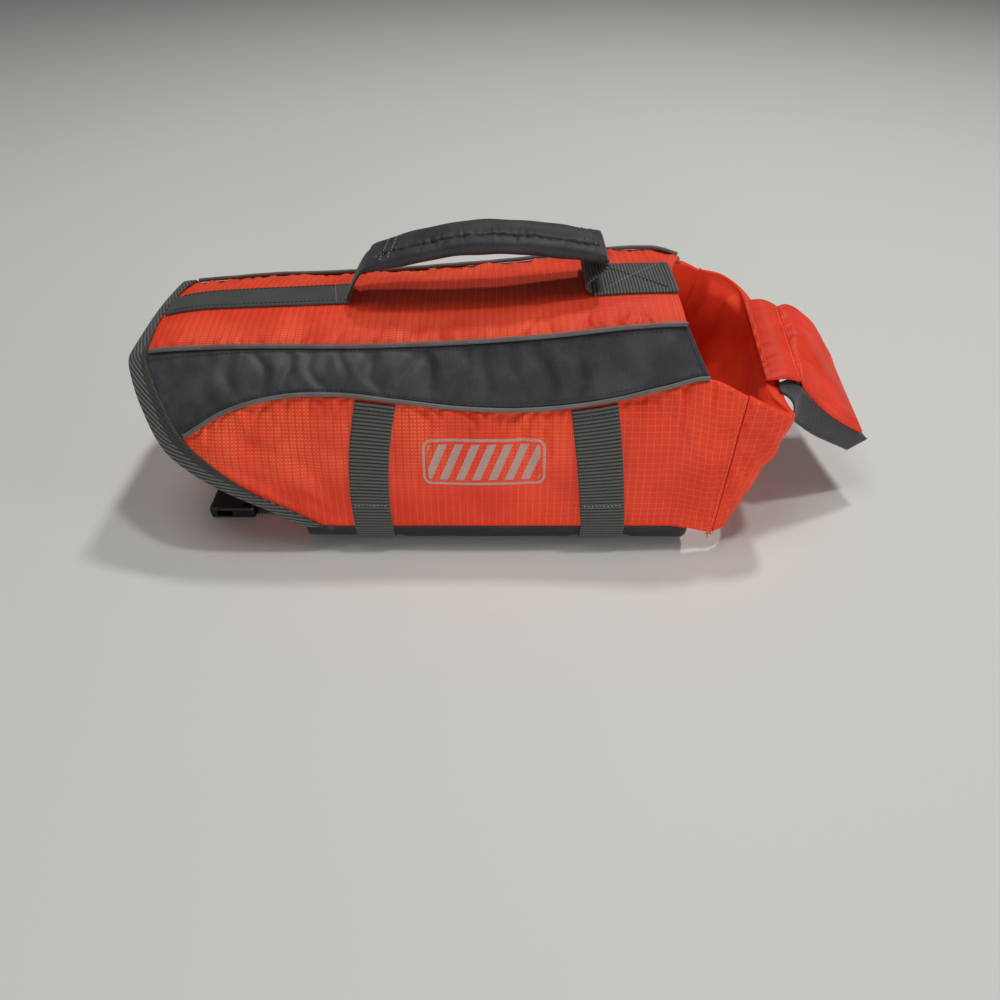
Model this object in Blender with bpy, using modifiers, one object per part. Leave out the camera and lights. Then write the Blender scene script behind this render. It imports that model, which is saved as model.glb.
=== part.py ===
"""Dog life jacket that stands on its belly: padded cloth panels, bound and piped, with webbing and buckles.

+X is the neck, -Y the near side, +Z up. The belly rests on Z = 0, and the origin lies on its underside.
Sizes in the tables are millimetres; everything built is metres.
"""
import math
from collections import namedtuple

import bmesh
import bpy
from mathutils import Matrix, Vector

MM = 0.001
OBJECT_NAME = "dog_life_jacket"

# Gaps and cloth
GAP = 0.3              # between neighbouring pieces
EDGE_WALL = 2.6        # panel thickness where it is sewn
WEB = 1.5              # webbing thickness
PIPE_RADIUS = 1.8
BINDING_REACH = 10.5   # how far the tape covers the rear edge on the sides
BINDING_TOP_REACH = 5.0
BINDING_TAPE = 1.0
SEAM_SINK = Vector((1.3, 1.6))     # the piped seams lie this far in and below the piping's own line

# Girth positions: a panel lies between one seam number and the next, counted from the spine
SPINE, UPPER, LOWER, HEM, KEEL = 0.0, 1.0, 2.0, 3.0, 4.0
NEAR, FAR = -1.0, 1.0

# The jacket's sections, tail to neck: spine height, then half width and height of the two piped seams
Station = namedtuple("Station", "x spine_z upper_y upper_z lower_y lower_z")
STATIONS = [
    Station(-200, 100.0, 45.0, 98.5, 82.0, 56.0),
    Station(-185, 104.0, 45.0, 100.0, 81.0, 59.5),
    Station(-170, 106.3, 45.2, 101.2, 79.0, 66.8),
    Station(-145, 107.8, 46.5, 102.8, 75.0, 80.5),
    Station(-114, 109.2, 47.6, 103.5, 72.5, 88.2),
    Station(-84, 110.6, 49.0, 104.2, 72.3, 89.0),
    Station(-54, 111.8, 50.0, 105.6, 73.3, 85.7),
    Station(-24, 113.0, 51.0, 107.7, 74.3, 82.3),
    Station(6, 114.6, 51.5, 110.0, 74.7, 81.1),
    Station(36, 117.4, 52.2, 113.4, 74.1, 82.9),
    Station(61, 119.6, 52.2, 116.6, 73.0, 86.8),
    Station(86, 120.4, 51.5, 118.4, 71.2, 92.7),
    Station(110, 119.6, 50.0, 118.0, 69.8, 97.4),
    Station(132, 118.0, 49.0, 117.0, 71.8, 87.8),
]
HEM_Y, HEM_Z = 94.5, 16.5
HEM_DIP_X, HEM_DIP = 93.0, 5.7      # ahead of this the hem runs down to the chest seam
KEEL_CURVE = 12.5                   # how far in the belly rounds under from the hem
STRAP_LIFT = WEB + GAP              # the belly rises this much over a strap that passes beneath it

# Rear edge seen from the side: where the binding runs at each height
Outline = namedtuple("Outline", "z x")
REAR_EDGE = [
    Outline(0, -97), Outline(11.5, -99), Outline(17, -110), Outline(25, -124), Outline(36, -146),
    Outline(47, -164.5), Outline(60, -182), Outline(75, -192.5), Outline(86, -198), Outline(94, -200.5),
    Outline(100.5, -198.5), Outline(112, -198),
]
TOP_FRONT_X = 98.5
BAND_FRONT_X = 110.0
SIDE_FRONT_TOP_X, SIDE_FRONT_HEM_X = 131.5, 120.5
BELLY_FRONT_X = 106.0
# The far shoulder reaches further forward at the neck; its upper seam sinks and its lower one stands higher
FAR_TOP_REACH, FAR_BAND_REACH = 13.0, 8.0
FAR_SHOULDER_X, FAR_LOWER_RISE, FAR_UPPER_DROP = 92.0, 9.0, 5.5

# How far each panel swells past its seams, and its thickness in the middle
Pad = namedtuple("Pad", "swell wall")
PADS = {0: Pad(0.0, 8.0), 1: Pad(2.4, 5.0), 2: Pad(5.2, 8.5), 3: Pad(0.0, 3.0)}
PAD_FADE = 14.0      # length over which the padding thins towards an end

# Soft creases pressed into the outer faces: panel, where the trough crosses its middle, how far it leans
# in x from one seam to the next, where across the panel it is deepest, and its depth and half width
Crease = namedtuple("Crease", "panel x lean across depth half")
CREASES = [
    Crease(1, -147, 9, 0.5, 1.3, 6.5), Crease(1, -129, -8, 0.5, 1.1, 6.0), Crease(1, -111, 8, 0.45, 1.4, 6.5),
    Crease(1, -94, -6, 0.5, 1.1, 6.0), Crease(1, -65, 10, 0.5, 1.3, 7.5), Crease(1, -38, 8, 0.45, 1.2, 7.0),
    Crease(1, -8, -9, 0.5, 1.3, 7.5), Crease(1, 24, 9, 0.5, 1.2, 7.0), Crease(1, 43, -7, 0.5, 1.0, 6.5),
    Crease(1, 80, 7, 0.5, 0.8, 7.5),
    Crease(2, -128, 34, 0.45, 1.5, 9.0), Crease(2, -104, 40, 0.62, 1.3, 9.0),
    Crease(2, 16, 12, 0.3, 1.4, 8.0), Crease(2, -30, -14, 0.22, 1.1, 9.0), Crease(2, 92, 16, 0.3, 1.1, 8.5),
    Crease(0, -112, 12, 0.75, 1.2, 9.0), Crease(0, -44, -12, 0.8, 1.2, 9.0),
    Crease(0, 22, 12, 0.78, 1.1, 9.0),
]

# Side straps: x of the centre line at the top, the middle and the hem, and half the width
StrapRun = namedtuple("StrapRun", "top middle hem half")
REAR_STRAP = StrapRun(-65.0, -70.5, -70.7, 10.6)
FRONT_STRAP = StrapRun(49.6, 54.0, 57.5, 12.2)
STRAP_START = 2.035
FAR_BUCKLE_GIRTH = 2.66
WALL_RUN = 72.0              # length of a side wall from the lower seam to the hem, for placing buckles
BUCKLE_SEAM, PLUG_HANG = 6.0, 4.0    # where the front buckle parts and the rear plug starts, below that girth
TAIL_Y, TAIL_FROM_X, TAIL_TO_X = -56.5, -60.0, -146.5
TUCK_Y = 69.0

# Chest band, near seam to far seam: rim and foot of each section, and how thick the rim is
Chest = namedtuple("Chest", "rim_x rim_y rim_z foot_x foot_y foot_z swell rim_wall")
CHEST = [
    Chest(131.9, -70.4, 86.9, 120.9, -94.6, 10.9, 0.0, 2.6),
    Chest(146.0, -73.0, 80.5, 129.5, -88.5, 11.5, 4.5, 3.0),
    Chest(157.5, -69.0, 75.5, 136.0, -72.0, 14.5, 8.0, 4.5),
    Chest(168.0, -47.0, 71.8, 138.0, -42.0, 16.0, 7.5, 12.0),
    Chest(166.0, 0.0, 72.8, 138.0, 0.0, 16.0, 10.0, 11.0),
    Chest(168.0, 46.0, 77.0, 138.0, 42.0, 16.0, 10.0, 10.0),
    Chest(162.5, 66.5, 82.5, 136.0, 72.0, 14.5, 8.0, 4.5),
    Chest(148.0, 71.0, 91.5, 129.5, 88.5, 11.5, 4.5, 3.0),
    Chest(131.9, 70.4, 95.9, 120.9, 94.6, 10.9, 0.0, 2.6),
]
CHEST_WALL = 6.0

# Chin float: a sewn channel on the chest rim, then the pad that droops ahead of it.
# Each row holds its near and far edge, its thickness and how high it is crowned.
Chin = namedtuple("Chin", "near_x near_y near_z far_x far_y far_z thick crown")
CHIN_EDGE = 1.8
CHANNEL = [
    Chin(150.5, -39.5, 78.6, 158.5, 46.5, 83.4, 2.4, 0.0),
    Chin(155.0, -40.0, 79.6, 163.5, 47.0, 84.6, 3.6, 0.8),
    Chin(160.5, -40.0, 80.2, 169.5, 46.5, 85.0, 4.0, 1.2),
    Chin(166.0, -40.0, 79.4, 175.0, 45.5, 83.4, 3.6, 0.8),
    Chin(170.3, -39.5, 77.8, 179.3, 44.5, 81.4, 2.4, 0.0),
]
FLAP = [
    Chin(170.8, -39.5, 77.6, 179.8, 44.5, 81.2, 2.6, 0.0),
    Chin(175.5, -41.0, 72.4, 185.5, 47.0, 81.4, 7.5, 3.2),
    Chin(182.5, -41.5, 65.9, 192.5, 48.0, 78.6, 10.0, 4.6),
    Chin(191.5, -41.5, 58.4, 200.5, 47.5, 73.0, 10.5, 4.8),
    Chin(201.0, -41.0, 51.6, 207.5, 46.0, 67.0, 9.5, 4.0),
    Chin(210.0, -40.0, 45.8, 212.5, 43.0, 61.5, 7.0, 2.4),
    Chin(217.0, -38.5, 41.6, 215.0, 38.5, 57.5, 3.0, 0.0),
]
# The facing's near lip hangs off the flap's edge: how far it reaches in x, y and z at each row of the flap
Lip = namedtuple("Lip", "row x y z")
FACING_LIP = [
    Lip(0, 2.0, -8.0, -9.0), Lip(2, -1.0, -6.0, -12.0),
    Lip(4, -4.0, -4.5, -10.0), Lip(6, -11.0, -3.5, -5.0),
]
FACING_WALL, FACING_TIP = 2.0, 4.0
FLAP_ROWS, FLAP_COLUMNS = 13, 11

# Handle, tail end to neck end: top height, half width and thickness of the padded grip
Grip = namedtuple("Grip", "x top_z half_y thick")
GRIP = [
    Grip(-73.0, 134.0, 14.0, 4.0), Grip(-68.0, 136.6, 16.5, 6.4), Grip(-52.0, 141.8, 18.2, 8.8),
    Grip(-27.0, 147.4, 18.6, 9.6), Grip(-8.0, 149.2, 18.6, 9.8), Grip(12.0, 148.8, 18.6, 9.8),
    Grip(34.0, 146.4, 18.4, 9.4), Grip(50.0, 143.8, 18.0, 8.6), Grip(56.5, 142.2, 17.4, 7.0),
]
TAPE_HALF = 12.5
FRONT_WEB_HALF = 19.0
SPINE_TAPE_FROM, SPINE_TAPE_TO = -191.5, -85.5
SPINE_WEB_FROM, SPINE_WEB_TO = 51.5, 98.0
RISER_REAR = [(-85.0, 113.0), (-83.2, 117.4), (-80.4, 122.4), (-77.2, 127.0), (-73.6, 130.6)]
RISER_FRONT = [
    (50.9, 121.2), (48.6, 122.6), (48.9, 125.4), (52.2, 128.4),
    (56.4, 131.6), (58.6, 135.2), (58.3, 138.8),
]

# Side-release buckle
SOCKET_LENGTH, SOCKET_WIDTH, SOCKET_HEIGHT = 27.0, 28.0, 8.0
MOUTH_DEPTH, MOUTH_WIDTH, MOUTH_HEIGHT = 16.0, 21.5, 4.4
WINDOW_LENGTH, WINDOW_FROM_MOUTH = 9.0, 4.5
BAR_SLOT_LENGTH, BAR_SLOT_WIDTH, BAR_LENGTH = 4.0, 24.8, 2.8
PLUG_BODY_LENGTH, PLUG_WIDTH, PLUG_HEIGHT = 13.0, 27.6, 6.4
PRONG_LENGTH, PRONG_HEIGHT, PRONG_REACH = 13.5, 3.4, 8.8
BUCKLE_ROUND = 1.6

# Colours (linear RGB) and roughness
Finish = namedtuple("Finish", "colour roughness")
ORANGE = Finish((0.78, 0.075, 0.028, 1.0), 0.55)
ORANGE_PAD = Finish((0.72, 0.065, 0.025, 1.0), 0.6)
GREY_BAND = Finish((0.075, 0.08, 0.09, 1.0), 0.75)
WEBBING = Finish((0.1, 0.105, 0.1, 1.0), 0.8)
PIPING = Finish((0.2, 0.19, 0.18, 1.0), 0.6)
TAPE = Finish((0.085, 0.095, 0.09, 1.0), 0.85)
GRIP_CLOTH = Finish((0.06, 0.063, 0.07, 1.0), 0.7)
LOOP_CLOTH = Finish((0.045, 0.047, 0.05, 1.0), 0.95)
BLACK_PLASTIC = Finish((0.012, 0.012, 0.013, 1.0), 0.4)


# ---------------------------------------------------------------- scene and object helpers

def clear_scene():
    for old in list(bpy.data.objects):
        bpy.data.objects.remove(old, do_unlink=True)


def new_collection(name):
    collection = bpy.data.collections.new(name)
    bpy.context.scene.collection.children.link(collection)
    return collection


def finish_material(name, finish):
    material = bpy.data.materials.new(name)
    material.use_nodes = True
    shader = material.node_tree.nodes["Principled BSDF"]
    shader.inputs["Base Color"].default_value = finish.colour
    shader.inputs["Roughness"].default_value = finish.roughness
    material.diffuse_color = finish.colour
    return material


def add_object(name, mesh, finish, smooth_angle=40.0):
    """Links a mesh given in metres as one named sub-part with its own material."""
    part = bpy.data.objects.new(name, mesh)
    parts.objects.link(part)
    mesh.materials.append(finish_material(name, finish))
    mesh.shade_smooth()
    mesh.set_sharp_from_angle(angle=math.radians(smooth_angle))
    return part


def solidify(part, thickness):
    """Gives an open strip its thickness on the side its faces point to."""
    wall = part.modifiers.new("Wall", "SOLIDIFY")
    wall.thickness = thickness * MM
    wall.offset = 1.0
    wall.use_even_offset = True
    return part


# ---------------------------------------------------------------- tables and smooth curves

def smooth_lookup(rows, key, column, at):
    """Reads a column of a table at a key between its rows, on a smooth curve through them."""
    keys = [getattr(row, key) for row in rows]
    values = [getattr(row, column) for row in rows]
    at = min(max(at, keys[0]), keys[-1])
    i = max(k for k in range(len(keys) - 1) if keys[k] <= at)
    span = keys[i + 1] - keys[i]
    t = (at - keys[i]) / span

    def slope(k):
        low, high = max(k - 1, 0), min(k + 1, len(keys) - 1)
        return (values[high] - values[low]) / (keys[high] - keys[low])

    t2, t3 = t * t, t * t * t
    start = (2 * t3 - 3 * t2 + 1) * values[i] + (t3 - 2 * t2 + t) * span * slope(i)
    return start + (3 * t2 - 2 * t3) * values[i + 1] + (t3 - t2) * span * slope(i + 1)


Indexed = namedtuple("Indexed", "step value")


def smooth_row(rows, position):
    """Blends whole rows of a table at a fractional row number."""
    fields = rows[0]._fields
    values = []
    for field in fields:
        column = [Indexed(k, getattr(row, field)) for k, row in enumerate(rows)]
        values.append(smooth_lookup(column, "step", "value", position))
    return type(rows[0])(*values)


def ease(t):
    t = min(max(t, 0.0), 1.0)
    return t * t * (3.0 - 2.0 * t)


def steps(start, end, count):
    return [start + (end - start) * k / count for k in range(count + 1)]


# ---------------------------------------------------------------- the jacket's skin

def station(x, column):
    return smooth_lookup(STATIONS, "x", column, x)


def far_shift(x, side, amount):
    """Part of a height change that the far side takes on towards the neck."""
    return amount * ease((x - FAR_SHOULDER_X) / 32.0) if side == FAR else 0.0


def hem_height(x):
    return HEM_Z - HEM_DIP * ease((x - HEM_DIP_X) / 30.0)


def binding_reach(girth):
    """The tape folds narrow over the back and runs wider down the sides."""
    return BINDING_TOP_REACH + (BINDING_REACH - BINDING_TOP_REACH) * ease((girth - 0.3) / 1.3)


def strap_lift(x):
    """How far the belly rises over the front strap, and over the loose tail behind the rear strap."""
    over_front = 1.0 - ease((abs(x - FRONT_STRAP.hem) - FRONT_STRAP.half - 2.0) / 6.0)
    over_rear = 1.0 - ease((x - REAR_STRAP.hem - REAR_STRAP.half - 2.0) / 6.0)
    return STRAP_LIFT * max(over_front, over_rear)


def seam(x, number, side):
    """Half width and height of one seam at x."""
    if number == 0:
        return Vector((0.0, station(x, "spine_z")))
    if number == 1:
        upper = Vector((station(x, "upper_y"), station(x, "upper_z") - far_shift(x, side, FAR_UPPER_DROP)))
        return upper - SEAM_SINK
    if number == 2:
        lower = Vector((station(x, "lower_y"), station(x, "lower_z") + far_shift(x, side, FAR_LOWER_RISE)))
        return lower - SEAM_SINK.yx
    return Vector((HEM_Y, hem_height(x)))


def crease_depth(x, panel, across):
    """Depth of the soft troughs at a place on a panel, with a low swell beside each."""
    total = 0.0
    for crease in CREASES:
        if crease.panel == panel:
            reach = max(0.0, 1.0 - ((across - crease.across) / 0.42) ** 2)
            away = (x - crease.x - crease.lean * (across - 0.5)) / crease.half
            total += crease.depth * reach * (1.0 - 0.8 * away * away) * math.exp(-away * away)
    seam_fade = min(1.0, (1.0 - across) / 0.2)
    return total * (seam_fade if panel == 0 else seam_fade * min(1.0, across / 0.2))


def front_fade(x, girth, side):
    return ease((front_x(girth, side) - x) / PAD_FADE)


def end_fade(x, girth, side):
    """0 under the rear binding and at a panel's front end, 1 where its padding is full."""
    rear = rear_x(min(girth, HEM), side) + binding_reach(girth)
    return ease((x - rear) / PAD_FADE) * front_fade(x, girth, side)


def front_x(girth, side):
    top_reach, band_reach = (FAR_TOP_REACH, FAR_BAND_REACH) if side == FAR else (0.0, 0.0)
    if girth < UPPER:
        return TOP_FRONT_X + top_reach * girth ** 1.5
    if girth < LOWER:
        start, end = TOP_FRONT_X + top_reach, BAND_FRONT_X + band_reach
        return start + (end - start) * (girth - UPPER)
    if girth <= HEM:
        return SIDE_FRONT_TOP_X + (SIDE_FRONT_HEM_X - SIDE_FRONT_TOP_X) * (girth - LOWER)
    return BELLY_FRONT_X


def bare_section(x, girth, side):
    """Half width and height of the skin at x and a girth position, before the padding swells it."""
    if girth >= HEM:
        turn = min((girth - HEM) / 0.4, 1.0) * math.pi / 2.0
        floor = strap_lift(x)
        low = floor + (hem_height(x) - floor) * (1.0 - math.sin(turn))
        if girth <= HEM + 0.4:
            return Vector((HEM_Y - KEEL_CURVE * (1.0 - math.cos(turn)), low))
        inward = (girth - HEM - 0.4) / 0.6
        return Vector(((HEM_Y - KEEL_CURVE) * (1.0 - inward), floor))
    panel = int(girth)
    across = girth - panel
    start, end = seam(x, panel, side), seam(x, panel + 1, side)
    if panel == 0:
        drop = across * across
        return Vector((end.x * across, start.y + (end.y - start.y) * drop))
    return start.lerp(end, across)


def rear_x(girth, side):
    """Where the rear edge runs at a girth position: the outline gives x for a height."""
    x = -150.0
    for _ in range(8):
        height = bare_section(x, min(girth, HEM), side).y
        x = 0.5 * x + 0.5 * smooth_lookup(REAR_EDGE, "z", "x", height)
    return x


def section(x, girth, side):
    """Half width and height of the outer face at x, swollen and waved between the seams."""
    panel = min(int(girth), 3)
    across = girth - panel
    base = bare_section(x, girth, side)
    if panel == 3 or across == 0.0:
        return base
    start, end = seam(x, panel, side), seam(x, panel + 1, side)
    chord = (end - start).normalized()
    outward = Vector((-chord.y, chord.x))
    shape = math.sin(math.pi * across) ** 0.85 if panel else 0.0
    swell = PADS[panel].swell * shape * front_fade(x, girth, side)
    swell -= crease_depth(x, panel, across) * end_fade(x, girth, side)
    return base + outward * swell


def outward_normal(x, girth, side):
    """Unit vector out of the jacket in the section plane, shared by the panels on both sides of a seam."""
    before = section(x, max(girth - 0.07, SPINE), side)
    after = section(x, min(girth + 0.07, KEEL), side)
    along = (after - before).normalized()
    if girth <= 0.03:
        return Vector((0.0, 1.0))
    return Vector((-along.y, along.x))


def wall_thickness(x, girth, side):
    panel = min(int(girth), 3)
    across = girth - panel
    if panel == 0:
        across = 0.5 + 0.5 * across
    if panel == 3:
        across = min(across * 2.0, 1.0) * 0.5
    full = PADS[panel].wall - EDGE_WALL
    return EDGE_WALL + full * math.sin(math.pi * across) ** 0.7 * end_fade(x, girth, side)


def skin_point(x, girth, side, out=0.0):
    """Point on the outer face in metres, moved out of the jacket by a distance (negative is inwards)."""
    flat = section(x, girth, side) + outward_normal(x, girth, side) * out
    return Vector((x, side * flat.x, flat.y)) * MM


# ---------------------------------------------------------------- meshes from grids of points

def grid_faces(rows, columns, offset, flip):
    faces = []
    for i in range(rows - 1):
        for j in range(columns - 1):
            a = offset + i * columns + j
            quad = (a, a + 1, a + columns + 1, a + columns)
            faces.append(quad[::-1] if flip else quad)
    return faces


def rim_loop(rows, columns):
    """Grid numbers once round the edge of a grid."""
    loop = [j for j in range(columns)]
    loop += [i * columns + columns - 1 for i in range(1, rows)]
    loop += [(rows - 1) * columns + j for j in range(columns - 2, -1, -1)]
    loop += [i * columns for i in range(rows - 2, 0, -1)]
    return loop


def wall_mesh(name, outer, inner):
    """Closed wall between two grids of points in metres that have the same rows and columns."""
    rows, columns = len(outer), len(outer[0])
    points = [p for row in outer for p in row] + [p for row in inner for p in row]
    inner_start = rows * columns
    faces = grid_faces(rows, columns, 0, False) + grid_faces(rows, columns, inner_start, True)
    loop = rim_loop(rows, columns)
    for k, a in enumerate(loop):
        b = loop[(k + 1) % len(loop)]
        faces.append((b, a, a + inner_start, b + inner_start))
    mesh = bpy.data.meshes.new(name)
    mesh.from_pydata(points, [], faces)
    outward_faces(mesh)
    return mesh


def strip_mesh(name, grid):
    """Open surface through a grid of points in metres."""
    rows, columns = len(grid), len(grid[0])
    mesh = bpy.data.meshes.new(name)
    mesh.from_pydata([p for row in grid for p in row], [], grid_faces(rows, columns, 0, False))
    return mesh


def outward_faces(mesh):
    work = bmesh.new()
    work.from_mesh(mesh)
    bmesh.ops.recalc_face_normals(work, faces=work.faces)
    work.to_mesh(mesh)
    work.free()


# ---------------------------------------------------------------- body panels

TOP_ROWS, BAND_ROWS, SIDE_ROWS = 6, 5, 11      # rows of points across each panel


def inner_point(x, girth, side):
    return skin_point(x, girth, side, -wall_thickness(x, girth, side))


def girth_rows(first, last, count):
    """Girth positions across a panel, drawn in by half a gap at each seam."""
    margin = GAP / 2.0 / 34.0
    rows = steps(first, last, count)
    rows[0] += margin
    rows[-1] -= margin
    return rows


def panel_columns(girth, side):
    """x positions along a panel at a girth position; on a side, straps and panel share columns."""
    back, front = rear_x(girth, side), front_x(girth, side)
    reach = binding_reach(girth)
    bound = back + reach
    if girth < LOWER:
        between = 50 if girth > UPPER else 25
        return [back, back + reach / 2.0] + steps(bound, front, between)
    marks, counts = [bound], [7, 3, 9, 3, 6]
    for run in (REAR_STRAP, FRONT_STRAP):
        centre = strap_x(run, girth)
        marks += [centre - run.half, centre + run.half]
    marks.append(front)
    xs = [back, back + reach / 2.0, bound]
    for start, end, count in zip(marks, marks[1:], counts):
        xs += steps(start, end, count)[1:]
    return xs


def body_panel(name, first, last, count, side, finish):
    """One padded panel of a side, between two seams and from the rear edge to its front edge."""
    outer, inner = [], []
    for girth in girth_rows(first, last, count):
        xs = panel_columns(girth, side)
        outer.append([skin_point(x, girth, side) for x in xs])
        inner.append([inner_point(x, girth, side) for x in xs])
    return add_object(name, wall_mesh(name, outer, inner), finish)


def top_panel():
    """Padded back panel, one piece across the spine."""
    outer, inner = [], []
    half = girth_rows(SPINE, UPPER, TOP_ROWS)[1:]
    rows = [(g, NEAR) for g in reversed(half)] + [(0.0, FAR)] + [(g, FAR) for g in half]
    for girth, side in rows:
        xs = panel_columns(girth, side)
        outer.append([skin_point(x, girth, side) for x in xs])
        inner.append([inner_point(x, girth, side) for x in xs])
    return add_object("top_panel", wall_mesh("top_panel", outer, inner), ORANGE)


def belly_columns():
    """x positions along the belly, with the edges of each lifted stretch among them."""
    marks = [REAR_EDGE[0].x, REAR_STRAP.hem - REAR_STRAP.half]
    marks += [REAR_STRAP.hem + REAR_STRAP.half + away for away in (0.0, 2.0, 8.0)]
    marks += [FRONT_STRAP.hem - FRONT_STRAP.half - away for away in (8.0, 2.0, 0.0)]
    marks += [FRONT_STRAP.hem + FRONT_STRAP.half + away for away in (0.0, 2.0, 8.0)]
    marks.append(BELLY_FRONT_X)
    xs = [marks[0]]
    for a, b in zip(marks, marks[1:]):
        xs += steps(a, b, max(1, round((b - a) / 14.0)))[1:]
    return xs


def belly_girths():
    """Girth positions from the hem to the middle: close together round the turn, wide apart on the flat."""
    return steps(HEM, HEM + 0.4, 5) + steps(HEM + 0.4, KEEL, 3)[1:]


def belly_panel():
    """Grey underside, one piece from hem to hem, flat where it rests."""
    xs = belly_columns()
    half = [HEM + GAP / 2.0 / 34.0] + belly_girths()[1:-1]
    rows = [(g, NEAR) for g in half] + [(KEEL, FAR)] + [(g, FAR) for g in reversed(half)]
    outer = [[skin_point(x, girth, side) for x in xs] for girth, side in rows]
    inner = [[inner_point(x, girth, side) for x in xs] for girth, side in rows]
    return add_object("belly_panel", wall_mesh("belly_panel", outer, inner), GREY_BAND)


# ---------------------------------------------------------------- piping and binding

def piping(name, number, side, points):
    """Round piping that lies in a seam, from the binding to the neck."""
    start = rear_x(number, side) + binding_reach(number) + 1.5
    front = front_x(number - 0.01, side) - 1.0
    curve = bpy.data.curves.new(name, "CURVE")
    curve.dimensions = "3D"
    curve.bevel_depth = PIPE_RADIUS * MM
    curve.bevel_resolution = 2
    curve.use_fill_caps = True
    spline = curve.splines.new("POLY")
    xs = steps(start, front, points)
    spline.points.add(len(xs) - 1)
    for point, x in zip(spline.points, xs):
        point.co = (*skin_point(x, number, side, PIPE_RADIUS + GAP), 1.0)
    part = bpy.data.objects.new(name, curve)
    parts.objects.link(part)
    curve.materials.append(finish_material(name, PIPING))
    caps = part.modifiers.new("Join the caps", "WELD")
    caps.merge_threshold = 0.00002
    return part


def rear_binding():
    """Woven tape folded over the rear edge of every panel, hem to hem over the back."""
    down = girth_rows(SPINE, UPPER, TOP_ROWS)[1:]
    down += girth_rows(UPPER, LOWER, BAND_ROWS) + girth_rows(LOWER, HEM, SIDE_ROWS)
    grid = []
    for girth, side in [(g, FAR) for g in reversed(down)] + [(0.0, FAR)] + [(g, NEAR) for g in down]:
        edge = rear_x(girth, side)
        reach, middle = edge + binding_reach(girth), edge + binding_reach(girth) * 0.5
        clear = GAP + 0.1
        back = Vector((clear * MM, 0.0, 0.0))
        row = [skin_point(x, girth, side, clear) for x in (reach, middle)]
        row += [skin_point(edge, girth, side, clear) - back]
        wall = -wall_thickness(edge, girth, side) - clear
        row += [skin_point(edge, girth, side, wall) - back]
        for x in (middle, reach):
            row.append(skin_point(x, girth, side, -wall_thickness(x, girth, side) - clear))
        grid.append(row)
    part = add_object("rear_binding", strip_mesh("rear_binding", grid), TAPE)
    return solidify(part, BINDING_TAPE)


# ---------------------------------------------------------------- webbing

def strap_x(run, girth):
    """x of a side strap's centre line at a girth position."""
    if girth >= HEM:
        return run.hem
    t = girth - LOWER
    slope = 4.0 * run.middle - 3.0 * run.top - run.hem
    bend = 2.0 * run.top + 2.0 * run.hem - 4.0 * run.middle
    return run.top + slope * t + bend * t * t


def strap_girths(first, last):
    """Girth positions that a strap shares with the panels beneath it."""
    rows = steps(LOWER, HEM, SIDE_ROWS) + belly_girths()[1:]
    inside = [g for g in rows if first + 0.02 < g < last - 0.02]
    return [first] + inside + [last]


def strap_rows(run, girths, side):
    rows = []
    for girth in girths:
        centre = strap_x(run, girth)
        xs = steps(centre - run.half, centre + run.half, 3)
        rows.append([skin_point(x, girth, side, GAP) for x in xs])
    return rows


def webbing(name, rows, flip=False):
    """Strap from rows of points on its underside; its thickness lies away from what it is sewn to."""
    if flip:
        rows = rows[::-1]
    part = add_object(name, strip_mesh(name, rows), WEBBING)
    return solidify(part, WEB)


def girth_of_belly(y):
    """Girth position at a distance from the centre line under the belly."""
    return HEM + 0.4 + 0.6 * (1.0 - y / (HEM_Y - KEEL_CURVE))


def side_straps():
    """Webbing sewn down both sides; the front strap runs on under the belly to its buckle."""
    tuck = girth_of_belly(TUCK_Y)
    webbing("side_strap_rear_near", strap_rows(REAR_STRAP, strap_girths(STRAP_START, tuck), NEAR), flip=True)
    across = strap_rows(FRONT_STRAP, strap_girths(STRAP_START, KEEL), NEAR)
    lower_end = FAR_BUCKLE_GIRTH + (BUCKLE_SEAM + PLUG_BODY_LENGTH + 2.0 * GAP) / WALL_RUN
    across += strap_rows(FRONT_STRAP, strap_girths(lower_end, KEEL)[:-1], FAR)[::-1]
    webbing("side_strap_front_near", across, flip=True)
    front_end = FAR_BUCKLE_GIRTH - (SOCKET_LENGTH - BUCKLE_SEAM + GAP) / WALL_RUN
    rear_end = FAR_BUCKLE_GIRTH - (PLUG_BODY_LENGTH - PLUG_HANG + GAP) / WALL_RUN
    for name, run, end in (("front", FRONT_STRAP, front_end), ("rear", REAR_STRAP, rear_end)):
        webbing(f"side_strap_{name}_far", strap_rows(run, strap_girths(STRAP_START, end), FAR))


def belly_strap_tail():
    """Unfastened end of the rear belly strap, flat on the ground behind the belly."""
    rows = []
    for x in steps(TAIL_FROM_X, TAIL_TO_X, 12):
        rows.append([Vector((x, TAIL_Y + y, 0.0)) * MM for y in steps(-REAR_STRAP.half, REAR_STRAP.half, 3)])
    return webbing("belly_strap_tail", rows)


def spine_band(name, start, end, half, columns, finish):
    """Webbing laid along the middle of the back."""
    rows = []
    girth = half / 50.0
    for x in steps(start, end, columns):
        near = [skin_point(x, g, NEAR, GAP) for g in (girth, girth / 2.0)]
        far = [skin_point(x, g, FAR, GAP) for g in (0.0, girth / 2.0, girth)]
        rows.append((near + far)[::-1])
    part = add_object(name, strip_mesh(name, rows), finish)
    return solidify(part, WEB)


def riser(name, route, half_start, half_end, finish):
    """Webbing between the back and the grip, along a route of x and z."""
    rows = []
    for k, (x, z) in enumerate(route):
        half = half_start + (half_end - half_start) * k / (len(route) - 1)
        rows.append([Vector((x, y, z)) * MM for y in steps(half, -half, 4)])
    part = add_object(name, strip_mesh(name, rows), finish)
    return solidify(part, WEB)


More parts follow.
